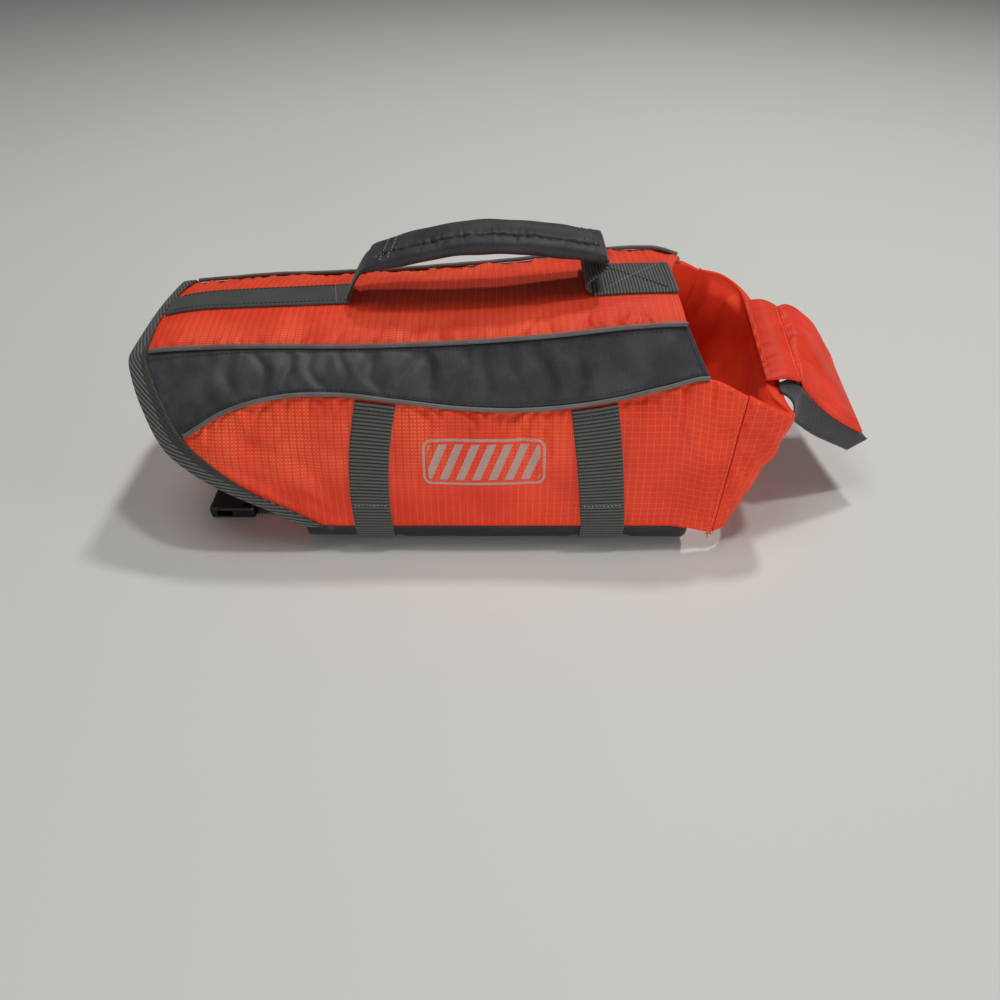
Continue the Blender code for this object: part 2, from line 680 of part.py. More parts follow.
def handle_grip():
    """Padded sleeve of the carrying handle: a flat rounded section along a low arch."""
    count, sides = 22, 16
    rings = []
    for position in steps(0.0, len(GRIP) - 1.0, count):
        row = smooth_row(GRIP, position)
        ring = []
        for k in range(sides):
            turn = 2.0 * math.pi * k / sides
            c, s = math.cos(turn), math.sin(turn)
            y = math.copysign(abs(c) ** 0.55, c) * row.half_y
            z = row.top_z - row.thick / 2.0 + math.copysign(abs(s) ** 0.8, s) * row.thick / 2.0
            ring.append(Vector((row.x, y, z)) * MM)
        rings.append(ring)
    points = [p for ring in rings for p in ring]
    faces = []
    for i in range(count):
        for k in range(sides):
            a, b = i * sides + k, i * sides + (k + 1) % sides
            faces.append((a, b, b + sides, a + sides))
    faces.append(tuple(range(sides)))
    faces.append(tuple(count * sides + k for k in range(sides)))
    mesh = bpy.data.meshes.new("handle_grip")
    mesh.from_pydata(points, [], faces)
    outward_faces(mesh)
    return add_object("handle_grip", mesh, GRIP_CLOTH)


# ---------------------------------------------------------------- chest and chin

def chest_panel():
    """Padded band from the near side round the front of the chest to the far side."""
    outer, inner = [], []
    count, columns = 36, 8
    for position in steps(0.0, len(CHEST) - 1.0, count):
        row = smooth_row(CHEST, position)
        rim = Vector((row.rim_x, row.rim_y, row.rim_z))
        foot = Vector((row.foot_x, row.foot_y, row.foot_z))
        ahead = smooth_row(CHEST, min(position + 0.05, len(CHEST) - 1.0))
        behind = smooth_row(CHEST, max(position - 0.05, 0.0))
        along = Vector((ahead.rim_x + ahead.foot_x - behind.rim_x - behind.foot_x,
                        ahead.rim_y + ahead.foot_y - behind.rim_y - behind.foot_y, 0.0))
        end = ease(min(position, len(CHEST) - 1.0 - position) / 0.7)
        out = along.cross(rim - foot).normalized()
        out = Vector((out.x * end, out.y, out.z)).normalized()
        outer_row, inner_row = [], []
        for down in steps(0.0, 1.0, columns):
            shape = math.sin(math.pi * down ** 0.62)
            face = rim.lerp(foot, down) + out * row.swell * shape
            edge = row.rim_wall + (EDGE_WALL - row.rim_wall) * ease(down / 0.5)
            wall = edge + (CHEST_WALL - EDGE_WALL) * shape * end
            outer_row.append(face * MM)
            inner_row.append((face - out * wall) * MM)
        outer.append(outer_row)
        inner.append(inner_row)
    return add_object("chest_panel", wall_mesh("chest_panel", outer, inner), ORANGE)


def chin_point(row, across, lift=0.0):
    """Point on the upper face of the chin float; its crown is highest in the middle."""
    near = Vector((row.near_x, row.near_y, row.near_z))
    far = Vector((row.far_x, row.far_y, row.far_z))
    crown = row.crown * math.sin(math.pi * across) ** 0.6
    return near.lerp(far, across) + Vector((0.0, 0.0, crown + lift))


def chin_down(rows, position, across):
    """Unit vector out of the underside of the chin float."""
    last = len(rows) - 1.0
    ahead = chin_point(smooth_row(rows, min(position + 0.1, last)), across)
    behind = chin_point(smooth_row(rows, max(position - 0.1, 0.0)), across)
    down = (ahead - behind).cross(Vector((0.0, 1.0, 0.0))).normalized()
    down = down if down.z < 0.0 else -down
    at_seam = ease(position) if rows is FLAP else 0.0
    return Vector((down.x * at_seam, down.y, down.z)).normalized()


def chin_pad(name, rows, count, columns, finish):
    """Padded piece between its near and far edges, thin at every edge."""
    outer, inner = [], []
    for position in steps(0.0, len(rows) - 1.0, count):
        row = smooth_row(rows, position)
        top, under = [], []
        for across in steps(0.0, 1.0, columns):
            thick = CHIN_EDGE + (row.thick - CHIN_EDGE) * math.sin(math.pi * across) ** 0.5
            point = chin_point(row, across)
            top.append(point * MM)
            under.append((point + chin_down(rows, position, across) * thick) * MM)
        outer.append(top)
        inner.append(under)
    return add_object(name, wall_mesh(name, outer, inner), finish)


def flap_facing():
    """Hook-and-loop sheet under the flap, wider than the flap on the near side, where it hangs lower."""
    outer, inner = [], []
    last = len(FLAP) - 1.0
    for position in steps(0.0, last, FLAP_ROWS):
        row = smooth_row(FLAP, position)
        lip = Vector([smooth_lookup(FACING_LIP, "row", axis, position) for axis in "xyz"])
        tip = FACING_TIP * ease(position - last + 1.0)
        top, under = [], []
        for across in [-0.11, -0.055] + steps(0.0, 1.0, FLAP_COLUMNS):
            inside = min(max(across, 0.0), 1.0)
            thick = CHIN_EDGE + (row.thick - CHIN_EDGE) * math.sin(math.pi * inside) ** 0.5
            down = chin_down(FLAP, position, inside)
            beyond = max(0.0, -across) / 0.11
            point = chin_point(row, inside) + down * (thick + GAP + 0.2) + lip * beyond
            point += Vector((-down.z, 0.0, down.x)) * tip
            top.append(point * MM)
            under.append((point + down * FACING_WALL) * MM)
        outer.append(top)
        inner.append(under)
    return add_object("flap_facing", wall_mesh("flap_facing", outer, inner), LOOP_CLOTH)


# ---------------------------------------------------------------- buckles

def block(name, size, centre, matrix):
    """Box of a size in millimetres, centred at a point of the buckle's own frame."""
    bpy.ops.mesh.primitive_cube_add(size=1.0)
    box = bpy.context.object
    box.name = name
    box.data.transform(Matrix.Diagonal((*[s * MM for s in size], 1.0)))
    box.data.transform(matrix @ Matrix.Translation(Vector(centre) * MM))
    return box


def move_to(collection, item):
    for old in list(item.users_collection):
        old.objects.unlink(item)
    collection.objects.link(item)


def cut(body, name, size, centre, matrix):
    cutter = block(name, size, centre, matrix)
    move_to(cutters, cutter)
    cutter.hide_render = True
    cutter.display_type = "WIRE"
    hole = body.modifiers.new(name, "BOOLEAN")
    hole.operation = "DIFFERENCE"
    hole.solver = "EXACT"
    hole.object = cutter


def plastic(body):
    move_to(parts, body)
    body.data.materials.append(finish_material(body.name, BLACK_PLASTIC))


def round_edges(body, width):
    edge = body.modifiers.new("Rounded edges", "BEVEL")
    edge.width = width * MM
    edge.segments = 2
    edge.limit_method = "ANGLE"


def buckle_socket(name, matrix):
    """Socket half; its mouth looks along the frame's +X, its webbing bar is at the other end."""
    body = block(name, (SOCKET_LENGTH, SOCKET_WIDTH, SOCKET_HEIGHT), (0.0, 0.0, 0.0), matrix)
    plastic(body)
    round_edges(body, BUCKLE_ROUND)
    mouth_x = SOCKET_LENGTH / 2.0 - MOUTH_DEPTH / 2.0 + 1.0
    cut(body, name + "_mouth", (MOUTH_DEPTH + 2.0, MOUTH_WIDTH, MOUTH_HEIGHT), (mouth_x, 0.0, 0.0), matrix)
    window_x = SOCKET_LENGTH / 2.0 - WINDOW_FROM_MOUTH - WINDOW_LENGTH / 2.0
    window = (WINDOW_LENGTH, SOCKET_WIDTH + 4.0, MOUTH_HEIGHT - 0.6)
    cut(body, name + "_window", window, (window_x, 0.0, 0.0), matrix)
    slot_x = -SOCKET_LENGTH / 2.0 + BAR_LENGTH + BAR_SLOT_LENGTH / 2.0
    slot = (BAR_SLOT_LENGTH, BAR_SLOT_WIDTH, SOCKET_HEIGHT + 4.0)
    cut(body, name + "_slot", slot, (slot_x, 0.0, 0.0), matrix)
    return body


def buckle_plug(name, matrix):
    """Plug half; its prongs point along the frame's -X, and its webbing bar is at the +X end."""
    size = (PLUG_BODY_LENGTH, PLUG_WIDTH, PLUG_HEIGHT)
    body = block(name, size, (PLUG_BODY_LENGTH / 2.0, 0.0, 0.0), matrix)
    plastic(body)
    round_edges(body, BUCKLE_ROUND)
    slot_x = PLUG_BODY_LENGTH - BAR_LENGTH - BAR_SLOT_LENGTH / 2.0
    slot = (BAR_SLOT_LENGTH, BAR_SLOT_WIDTH - 2.0, PLUG_HEIGHT + 4.0)
    cut(body, name + "_slot", slot, (slot_x, 0.0, 0.0), matrix)
    for k, y in enumerate((-PRONG_REACH, 0.0, PRONG_REACH)):
        length = PRONG_LENGTH if y else PRONG_LENGTH * 0.8
        size = (length + 2.0, 3.0 if y else 4.0, PRONG_HEIGHT)
        prong = block(f"{name}_prong_{k}", size, (1.0 - length / 2.0, y, 0.0), matrix)
        move_to(cutters, prong)
        prong.hide_render = True
        prong.display_type = "WIRE"
        join = body.modifiers.new(f"Prong {k}", "BOOLEAN")
        join.operation = "UNION"
        join.solver = "EXACT"
        join.object = prong
    return body


def wall_frame(x, girth, side, out):
    """Frame on a side wall: +X up the wall, +Z out of it."""
    centre = skin_point(x, girth, side, out)
    up = (skin_point(x, girth - 0.05, side) - skin_point(x, girth + 0.05, side)).normalized()
    flat = outward_normal(x, girth, side)
    normal = Vector((0.0, side * flat.x, flat.y))
    across = normal.cross(up).normalized()
    rotation = Matrix((up, across, up.cross(across))).transposed().to_4x4()
    return Matrix.Translation(centre) @ rotation


def buckles():
    """The front pair is fastened on the far side; the rear pair is open, its socket on the loose tail."""
    out = SOCKET_HEIGHT / 2.0 + GAP + 0.4
    front_x_mid = strap_x(FRONT_STRAP, FAR_BUCKLE_GIRTH)
    frame = wall_frame(front_x_mid, FAR_BUCKLE_GIRTH, FAR, out)
    half_turn = Matrix.Rotation(math.pi, 4, "Z")
    socket_centre = Matrix.Translation(Vector((SOCKET_LENGTH / 2.0 - BUCKLE_SEAM, 0.0, 0.0)) * MM)
    buckle_socket("buckle_front_socket", frame @ socket_centre @ half_turn)
    plug_start = Matrix.Translation(Vector((-BUCKLE_SEAM - GAP, 0.0, 0.0)) * MM)
    buckle_plug("buckle_front_plug", frame @ plug_start @ half_turn)
    rear_mid = strap_x(REAR_STRAP, FAR_BUCKLE_GIRTH)
    plug_out = PLUG_HEIGHT / 2.0 + GAP + 0.4
    rear = wall_frame(rear_mid, FAR_BUCKLE_GIRTH, FAR, plug_out)
    rear_start = Matrix.Translation(Vector((-PLUG_HANG, 0.0, 0.0)) * MM)
    buckle_plug("buckle_rear_plug", rear @ rear_start)
    ground = Vector((TAIL_TO_X - GAP - SOCKET_LENGTH / 2.0, TAIL_Y, SOCKET_HEIGHT / 2.0)) * MM
    buckle_socket("buckle_rear_socket", Matrix.Translation(ground) @ half_turn)


# ---------------------------------------------------------------- build

def build():
    top_panel()
    for word, side in (("near", NEAR), ("far", FAR)):
        body_panel(f"band_{word}", UPPER, LOWER, BAND_ROWS, side, GREY_BAND)
        body_panel(f"side_{word}", LOWER, HEM, SIDE_ROWS, side, ORANGE)
        piping(f"piping_upper_{word}", UPPER, side, 24)
        piping(f"piping_lower_{word}", LOWER, side, 26)
    belly_panel()
    chest_panel()
    chin_pad("chin_tongue", CHANNEL, 6, 10, ORANGE_PAD)
    chin_pad("chin_flap", FLAP, FLAP_ROWS, FLAP_COLUMNS, ORANGE_PAD)
    flap_facing()
    rear_binding()
    side_straps()
    belly_strap_tail()
    spine_band("spine_tape_rear", SPINE_TAPE_FROM, SPINE_TAPE_TO, TAPE_HALF, 14, GREY_BAND)
    spine_band("spine_strap_front", SPINE_WEB_FROM, SPINE_WEB_TO, FRONT_WEB_HALF, 8, WEBBING)
    riser("handle_riser_rear", RISER_REAR, TAPE_HALF, 14.0, GRIP_CLOTH)
    riser("handle_riser_front", RISER_FRONT, FRONT_WEB_HALF, 17.5, WEBBING)
    handle_grip()
    buckles()


clear_scene()
parts = new_collection(OBJECT_NAME)
cutters = new_collection(OBJECT_NAME + "_cutters")
build()
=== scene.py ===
"""Looks of a padded dog life jacket: orange panels, grey bands, ribbed webbing, chin float and handle.

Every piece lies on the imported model's form. Tables are in millimetres; what is built is in metres.
"""

import math
from collections import namedtuple

import bpy
import numpy as np
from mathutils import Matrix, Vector


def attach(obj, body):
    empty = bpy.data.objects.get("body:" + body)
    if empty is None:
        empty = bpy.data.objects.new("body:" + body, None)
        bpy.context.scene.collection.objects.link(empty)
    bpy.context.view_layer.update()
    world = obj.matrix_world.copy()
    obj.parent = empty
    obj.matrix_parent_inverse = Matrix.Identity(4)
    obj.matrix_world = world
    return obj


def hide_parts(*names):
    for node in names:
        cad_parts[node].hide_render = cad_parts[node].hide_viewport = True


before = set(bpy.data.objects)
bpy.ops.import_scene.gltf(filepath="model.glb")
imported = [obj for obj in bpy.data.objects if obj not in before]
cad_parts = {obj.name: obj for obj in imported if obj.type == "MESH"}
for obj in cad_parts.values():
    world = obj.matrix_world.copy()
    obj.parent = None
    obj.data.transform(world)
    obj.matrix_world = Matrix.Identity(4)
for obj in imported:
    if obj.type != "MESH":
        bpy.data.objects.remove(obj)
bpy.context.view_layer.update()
scene = bpy.context.scene


# ================================================================ camera
# The camera looks down at the jacket's near side from arm's length above the table.
# It stands square to that side and has a wide lens.
CAMERA_PLACE = (0.0, -0.400, 0.301)
CAMERA_DOWN = 49.0          # degrees up from looking straight down
CAMERA_LENS = 26.64

camera = bpy.data.objects.new("camera", bpy.data.cameras.new("camera"))
camera.data.sensor_width = 36.0
camera.data.lens = CAMERA_LENS
camera.location = CAMERA_PLACE
camera.rotation_euler = (math.radians(CAMERA_DOWN), 0.0, 0.0)
scene.collection.objects.link(camera)
scene.camera = camera


# ================================================================ table top
# The jacket stands on a plain pale table that takes soft shadows.
# It is one large flat sheet in a single dull tone.
FLOOR_HALF = 4.0
FLOOR_COLOUR = (0.735, 0.745, 0.715, 1.0)
FLOOR_DROP = 0.0002         # the sheet lies this far below the belly

floor_mesh = bpy.data.meshes.new("table_top")
floor_signs = ((-1, -1), (1, -1), (1, 1), (-1, 1))
floor_corners = [(FLOOR_HALF * x, FLOOR_HALF * y, -FLOOR_DROP) for x, y in floor_signs]
floor_mesh.from_pydata(floor_corners, [], [(0, 1, 2, 3)])
floor = bpy.data.objects.new("table_top", floor_mesh)
scene.collection.objects.link(floor)
floor_material = bpy.data.materials.new("table_top")
floor_material.use_nodes = True
floor_shader = floor_material.node_tree.nodes["Principled BSDF"]
floor_shader.inputs["Base Color"].default_value = FLOOR_COLOUR
floor_shader.inputs["Roughness"].default_value = 0.62
floor_mesh.materials.append(floor_material)


# ================================================================ room light
# Two small ceiling lamps hang almost overhead, one ahead of the jacket and one behind it.
# They cast the handle's double shadow; broad soft lights in front and at both ends fill the rest.
AIM_MIDDLE, AIM_NECK, AIM_FRONT = (0.0, 0.0, 0.08), (0.12, 0.0, 0.05), (0.10, 0.0, 0.05)
CEILING_COLOUR, WALL_COLOUR = (1.0, 0.99, 0.97), (1.0, 0.99, 0.99)


def soft_lamp(name, place, target, size, power, colour):
    lamp = bpy.data.objects.new(name, bpy.data.lights.new(name, "AREA"))
    lamp.data.shape = "DISK"
    lamp.data.size = size
    lamp.data.energy = power
    lamp.data.color = colour
    lamp.location = place
    aim = Vector(target) - Vector(place)
    lamp.rotation_euler = aim.to_track_quat("-Z", "Y").to_euler()
    scene.collection.objects.link(lamp)


soft_lamp("ceiling_near", (0.56, 0.20, 2.20), AIM_MIDDLE, 0.20, 10.8, CEILING_COLOUR)
soft_lamp("ceiling_far", (0.54, 1.06, 2.04), AIM_MIDDLE, 0.22, 14.8, CEILING_COLOUR)
soft_lamp("room_front", (0.10, -1.60, 0.26), AIM_MIDDLE, 0.42, 7.0, WALL_COLOUR)
soft_lamp("room_left", (-0.46, 0.05, 1.80), AIM_NECK, 1.0, 6.0, (1.0, 1.0, 1.0))
soft_lamp("room_right", (1.25, -0.45, 0.45), AIM_FRONT, 0.6, 2.6, WALL_COLOUR)

room = bpy.data.worlds.new("room")
room.use_nodes = True
backdrop = room.node_tree.nodes["Background"].inputs
backdrop["Color"].default_value = (1.0, 1.0, 0.98, 1.0)
backdrop["Strength"].default_value = 0.08
scene.world = room
scene.view_settings.view_transform = "Standard"


# ================================================================ back panel
# A foam slab covered in orange ripstop lies over the dog's back, one piece from piping to piping.
# The cloth is a light nylon with a raised grid; it gathers a little where it is sewn down.
MM = 0.001
GAP = 0.3
GIRTH_GAP = GAP / 68.0      # the same gap as a share of a panel's width
SPINE_SPAN = 50.0           # half width of the back, for girth positions near the spine
KEEL_TURN = 0.4             # share of the belly's girth in which the hem turns under
EDGE_WALL = 2.6
BINDING_REACH = 10.5
BINDING_TOP_REACH = 5.0
BINDING_WIDENS_FROM, BINDING_WIDENS_OVER = 0.3, 1.3      # girth positions
SEAM_SINK = np.array([1.3, 1.6])
SPINE, UPPER, LOWER, HEM, KEEL = 0.0, 1.0, 2.0, 3.0, 4.0      # girth positions, counted from the spine
NEAR, FAR = -1.0, 1.0

# The jacket's sections, tail to neck: spine height, then half width and height of the two piped seams
Station = namedtuple("Station", "x spine_z upper_y upper_z lower_y lower_z")
STATIONS = [
    Station(-200, 100.0, 45.0, 98.5, 82.0, 56.0),
    Station(-185, 104.0, 45.0, 100.0, 81.0, 59.5),
    Station(-170, 106.3, 45.2, 101.2, 79.0, 66.8),
    Station(-145, 107.8, 46.5, 102.8, 75.0, 80.5),
    Station(-114, 109.2, 47.6, 103.5, 72.5, 88.2),
    Station(-84, 110.6, 49.0, 104.2, 72.3, 89.0),
    Station(-54, 111.8, 50.0, 105.6, 73.3, 85.7),
    Station(-24, 113.0, 51.0, 107.7, 74.3, 82.3),
    Station(6, 114.6, 51.5, 110.0, 74.7, 81.1),
    Station(36, 117.4, 52.2, 113.4, 74.1, 82.9),
    Station(61, 119.6, 52.2, 116.6, 73.0, 86.8),
    Station(86, 120.4, 51.5, 118.4, 71.2, 92.7),
    Station(110, 119.6, 50.0, 118.0, 69.8, 97.4),
    Station(132, 118.0, 49.0, 117.0, 71.8, 87.8),
]
HEM_Y, HEM_Z = 94.5, 16.5
HEM_DIP_X, HEM_DIP_RUN, HEM_DIP = 93.0, 30.0, 5.7
KEEL_CURVE = 12.5
WEB = 1.5
STRAP_LIFT, STRAP_CLEAR, STRAP_SLOPE = WEB + GAP, 2.0, 6.0

Outline = namedtuple("Outline", "z x")
REAR_EDGE = [
    Outline(0, -97), Outline(11.5, -99), Outline(17, -110), Outline(25, -124), Outline(36, -146),
    Outline(47, -164.5), Outline(60, -182), Outline(75, -192.5), Outline(86, -198), Outline(94, -200.5),
    Outline(100.5, -198.5), Outline(112, -198),
]
TOP_FRONT_X, BAND_FRONT_X = 98.5, 110.0
SIDE_FRONT_TOP_X, SIDE_FRONT_HEM_X = 131.5, 120.5
BELLY_FRONT_X = 106.0
FAR_TOP_REACH, FAR_BAND_REACH = 13.0, 8.0
FAR_SHOULDER_X, FAR_SHOULDER_RUN, FAR_LOWER_RISE, FAR_UPPER_DROP = 92.0, 32.0, 9.0, 5.5

Pad = namedtuple("Pad", "swell wall")
PADS = {0: Pad(0.0, 8.0), 1: Pad(2.4, 5.0), 2: Pad(5.2, 8.5), 3: Pad(0.0, 3.0)}
PAD_FADE = 14.0
SWELL_POWER, WALL_POWER = 0.85, 0.7     # how squarely a panel swells and its wall thickens

CREASE_REACH, CREASE_SEAM_FADE = 0.42, 0.2      # shares of a panel's width
Crease = namedtuple("Crease", "panel x lean across depth half")
CREASES = [
    Crease(1, -147, 9, 0.5, 1.3, 6.5), Crease(1, -129, -8, 0.5, 1.1, 6.0),
    Crease(1, -111, 8, 0.45, 1.4, 6.5),
    Crease(1, -94, -6, 0.5, 1.1, 6.0), Crease(1, -65, 10, 0.5, 1.3, 7.5), Crease(1, -38, 8, 0.45, 1.2, 7.0),
    Crease(1, -8, -9, 0.5, 1.3, 7.5), Crease(1, 24, 9, 0.5, 1.2, 7.0), Crease(1, 43, -7, 0.5, 1.0, 6.5),
    Crease(1, 80, 7, 0.5, 0.8, 7.5),
    Crease(2, -128, 34, 0.45, 1.5, 9.0), Crease(2, -104, 40, 0.62, 1.3, 9.0),
    Crease(2, 16, 12, 0.3, 1.4, 8.0), Crease(2, -30, -14, 0.22, 1.1, 9.0), Crease(2, 92, 16, 0.3, 1.1, 8.5),
    Crease(0, -112, 12, 0.75, 1.2, 9.0), Crease(0, -44, -12, 0.8, 1.2, 9.0),
    Crease(0, 22, 12, 0.78, 1.1, 9.0),
]

StrapRun = namedtuple("StrapRun", "top middle hem half")
REAR_STRAP = StrapRun(-65.0, -70.5, -70.7, 10.6)
FRONT_STRAP = StrapRun(49.6, 54.0, 57.5, 12.2)


def smooth_rows(keys, values, at):
    """Reads rows of numbers at any places between their keys, on a smooth curve through them."""
    keys, values = np.asarray(keys, float), np.asarray(values, float)
    at = np.clip(np.atleast_1d(np.asarray(at, float)), keys[0], keys[-1])
    i = np.clip(np.searchsorted(keys, at, side="right") - 1, 0, len(keys) - 2)
    low = np.maximum(np.arange(len(keys)) - 1, 0)
    high = np.minimum(np.arange(len(keys)) + 1, len(keys) - 1)
    spread = (keys[high] - keys[low]).reshape(-1, *[1] * (values.ndim - 1))
    slope = (values[high] - values[low]) / spread
    span, t = keys[i + 1] - keys[i], (at - keys[i]) / (keys[i + 1] - keys[i])
    if values.ndim > 1:
        span, t = span[:, None], t[:, None]
    t2, t3 = t * t, t * t * t
    start = (2 * t3 - 3 * t2 + 1) * values[i] + (t3 - 2 * t2 + t) * span * slope[i]
    return start + (3 * t2 - 2 * t3) * values[i + 1] + (t3 - t2) * span * slope[i + 1]


def ease(t):
    t = np.clip(t, 0.0, 1.0)
    return t * t * (3.0 - 2.0 * t)


def station(x):
    return smooth_rows([row.x for row in STATIONS], np.array([row[1:] for row in STATIONS]), x)


def far_shift(x, side, amount):
    return amount * ease((x - FAR_SHOULDER_X) / FAR_SHOULDER_RUN) if side == FAR else 0.0 * x


def hem_height(x):
    return HEM_Z - HEM_DIP * ease((x - HEM_DIP_X) / HEM_DIP_RUN)


def binding_reach(girth):
    widened = ease((girth - BINDING_WIDENS_FROM) / BINDING_WIDENS_OVER)
    return BINDING_TOP_REACH + (BINDING_REACH - BINDING_TOP_REACH) * widened


def strap_lift(x):
    """How far the belly rises over the front strap, and over the loose tail behind the rear strap."""
    over_front = 1.0 - ease((np.abs(x - FRONT_STRAP.hem) - FRONT_STRAP.half - STRAP_CLEAR) / STRAP_SLOPE)
    over_rear = 1.0 - ease((x - REAR_STRAP.hem - REAR_STRAP.half - STRAP_CLEAR) / STRAP_SLOPE)
    return STRAP_LIFT * np.maximum(over_front, over_rear)


def seam(x, number, side):
    """Half width and height of one seam at each x."""
    rows = station(x)
    if number == 0:
        return np.column_stack([0.0 * x, rows[:, 0]])
    if number == 1:
        height = rows[:, 2] - far_shift(x, side, FAR_UPPER_DROP)
        return np.column_stack([rows[:, 1], height]) - SEAM_SINK
    if number == 2:
        height = rows[:, 4] + far_shift(x, side, FAR_LOWER_RISE)
        return np.column_stack([rows[:, 3], height]) - SEAM_SINK[::-1]
    return np.column_stack([HEM_Y + 0.0 * x, hem_height(x)])


def crease_depth(x, panel, across):
    total = 0.0 * x
    for crease in CREASES:
        if crease.panel == panel:
            reach = max(0.0, 1.0 - ((across - crease.across) / CREASE_REACH) ** 2)
            away = (x - crease.x - crease.lean * (across - 0.5)) / crease.half
            total = total + crease.depth * reach * (1.0 - 0.8 * away * away) * np.exp(-away * away)
    seam_fade = min(1.0, (1.0 - across) / CREASE_SEAM_FADE)
    return total * (seam_fade if panel == 0 else seam_fade * min(1.0, across / CREASE_SEAM_FADE))


def front_x(girth, side):
    top_reach, band_reach = (FAR_TOP_REACH, FAR_BAND_REACH) if side == FAR else (0.0, 0.0)
    if girth < UPPER:
        return TOP_FRONT_X + top_reach * girth ** 1.5
    if girth < LOWER:
        start, end = TOP_FRONT_X + top_reach, BAND_FRONT_X + band_reach
        return start + (end - start) * (girth - UPPER)
    if girth <= HEM:
        return SIDE_FRONT_TOP_X + (SIDE_FRONT_HEM_X - SIDE_FRONT_TOP_X) * (girth - LOWER)
    return BELLY_FRONT_X


def bare_section(x, girth, side):
    """Half width and height of the skin at each x, before the padding swells it."""
    if girth >= HEM:
        turn = min((girth - HEM) / KEEL_TURN, 1.0) * math.pi / 2.0
        rest = strap_lift(x)
        low = rest + (hem_height(x) - rest) * (1.0 - math.sin(turn))
        if girth <= HEM + KEEL_TURN:
            return np.column_stack([HEM_Y - KEEL_CURVE * (1.0 - math.cos(turn)) + 0.0 * x, low])
        inward = (girth - HEM - KEEL_TURN) / (1.0 - KEEL_TURN)
        return np.column_stack([(HEM_Y - KEEL_CURVE) * (1.0 - inward) + 0.0 * x, rest])
    panel = int(girth)
    across = girth - panel
    start, end = seam(x, panel, side), seam(x, panel + 1, side)
    if panel == 0:
        height = start[:, 1] + (end[:, 1] - start[:, 1]) * across * across
        return np.column_stack([end[:, 0] * across, height])
    return start + (end - start) * across


REAR_FIRST_X, REAR_ROUNDS = -150.0, 8       # where the search for the rear edge starts, and its steps
rear_places = {}


def rear_x(girth, side):
    """Where the rear edge runs at a girth position."""
    girth = min(girth, HEM)
    if (girth, side) not in rear_places:
        edge_z, edge_x = zip(*REAR_EDGE)
        x = np.array([REAR_FIRST_X])
        for _ in range(REAR_ROUNDS):
            height = bare_section(x, girth, side)[:, 1]
            x = 0.5 * x + 0.5 * smooth_rows(edge_z, edge_x, height)
        rear_places[(girth, side)] = float(x[0])
    return rear_places[(girth, side)]


def front_fade(x, girth, side):
    return ease((front_x(girth, side) - x) / PAD_FADE)


def end_fade(x, girth, side):
    rear = rear_x(girth, side) + binding_reach(girth)
    return ease((x - rear) / PAD_FADE) * front_fade(x, girth, side)


def section(x, girth, side):
    """Half width and height of the outer face at each x, swollen and waved between the seams."""
    panel = min(int(girth), 3)
    across = girth - panel
    base = bare_section(x, girth, side)
    if panel == 3 or across == 0.0:
        return base
    start, end = seam(x, panel, side), seam(x, panel + 1, side)
    chord = (end - start) / np.linalg.norm(end - start, axis=1)[:, None]
    outward = np.column_stack([-chord[:, 1], chord[:, 0]])
    shape = math.sin(math.pi * across) ** SWELL_POWER if panel else 0.0
    swell = PADS[panel].swell * shape * front_fade(x, girth, side)
    swell = swell - crease_depth(x, panel, across) * end_fade(x, girth, side)
    return base + outward * swell[:, None]


NORMAL_STEP = 0.07


def outward_normal(x, girth, side):
    if girth <= 0.03:
        return np.column_stack([0.0 * x, 1.0 + 0.0 * x])
    before = section(x, max(girth - NORMAL_STEP, SPINE), side)
    after = section(x, min(girth + NORMAL_STEP, KEEL), side)
    along = (after - before) / np.linalg.norm(after - before, axis=1)[:, None]
    return np.column_stack([-along[:, 1], along[:, 0]])


def wall_thickness(x, girth, side):
    panel = min(int(girth), 3)
    across = girth - panel
    if panel == 0:
        across = 0.5 + 0.5 * across
    if panel == 3:
        across = min(across * 2.0, 1.0) * 0.5
    full = PADS[panel].wall - EDGE_WALL
    return EDGE_WALL + full * math.sin(math.pi * across) ** WALL_POWER * end_fade(x, girth, side)


def skin(x, girth, side, out=0.0):
    """Points on the outer face in metres, moved out of the jacket by a distance (negative is inwards)."""
    x = np.atleast_1d(np.asarray(x, float))
    out = (np.asarray(out, float) + 0.0 * x)[:, None]
    flat = section(x, girth, side) + outward_normal(x, girth, side) * out
    return np.column_stack([x, side * flat[:, 0], flat[:, 1]]) * MM


def gathers(rng, start, end, spacing, depth, reach):
    """Places of the small gathers along a sewn seam: x, lean, depth, half width and reach of each."""
    rows = []
    x = start + spacing * rng.uniform(0.2, 0.8)
    while x < end:
        sink = depth * rng.uniform(0.35, 1.0) * (1.0 if rng.random() < 0.68 else -0.75)
        rows.append((x, rng.uniform(-0.7, 0.7), sink, rng.uniform(1.2, 2.9), reach * rng.uniform(0.5, 1.3)))
        x += spacing * rng.uniform(0.45, 1.6)
    return np.array(rows)


def gather_relief(x, away, rows):
    """Height in millimetres that the gathers take from the cloth, at a distance from their seam."""
    place, lean, depth, half, reach = rows.T
    away = np.broadcast_to(away, x.shape)[:, None]
    across = (x[:, None] - place - lean * away) / half
    fall = ease(away / 2.2) * np.exp(-(away / reach) ** 2)
    return -(depth * fall * np.exp(-across * across)).sum(axis=1)


def slack(x, away, waves):
    """Slow unevenness of cloth over foam: a few long waves that cross each other."""
    total = 0.0 * x
    for length, turn, phase, height in waves:
        along = x * math.cos(turn) + away * math.sin(turn)
        total = total + height * np.sin(along / length * 2 * math.pi + phase)
    return total


def edge_roll(distance, radius=1.3):
    """How far a folded edge rounds away within a short distance of it."""
    d = np.clip(distance, 0.0, radius)
    return -(radius - np.sqrt(radius ** 2 - (radius - d) ** 2))


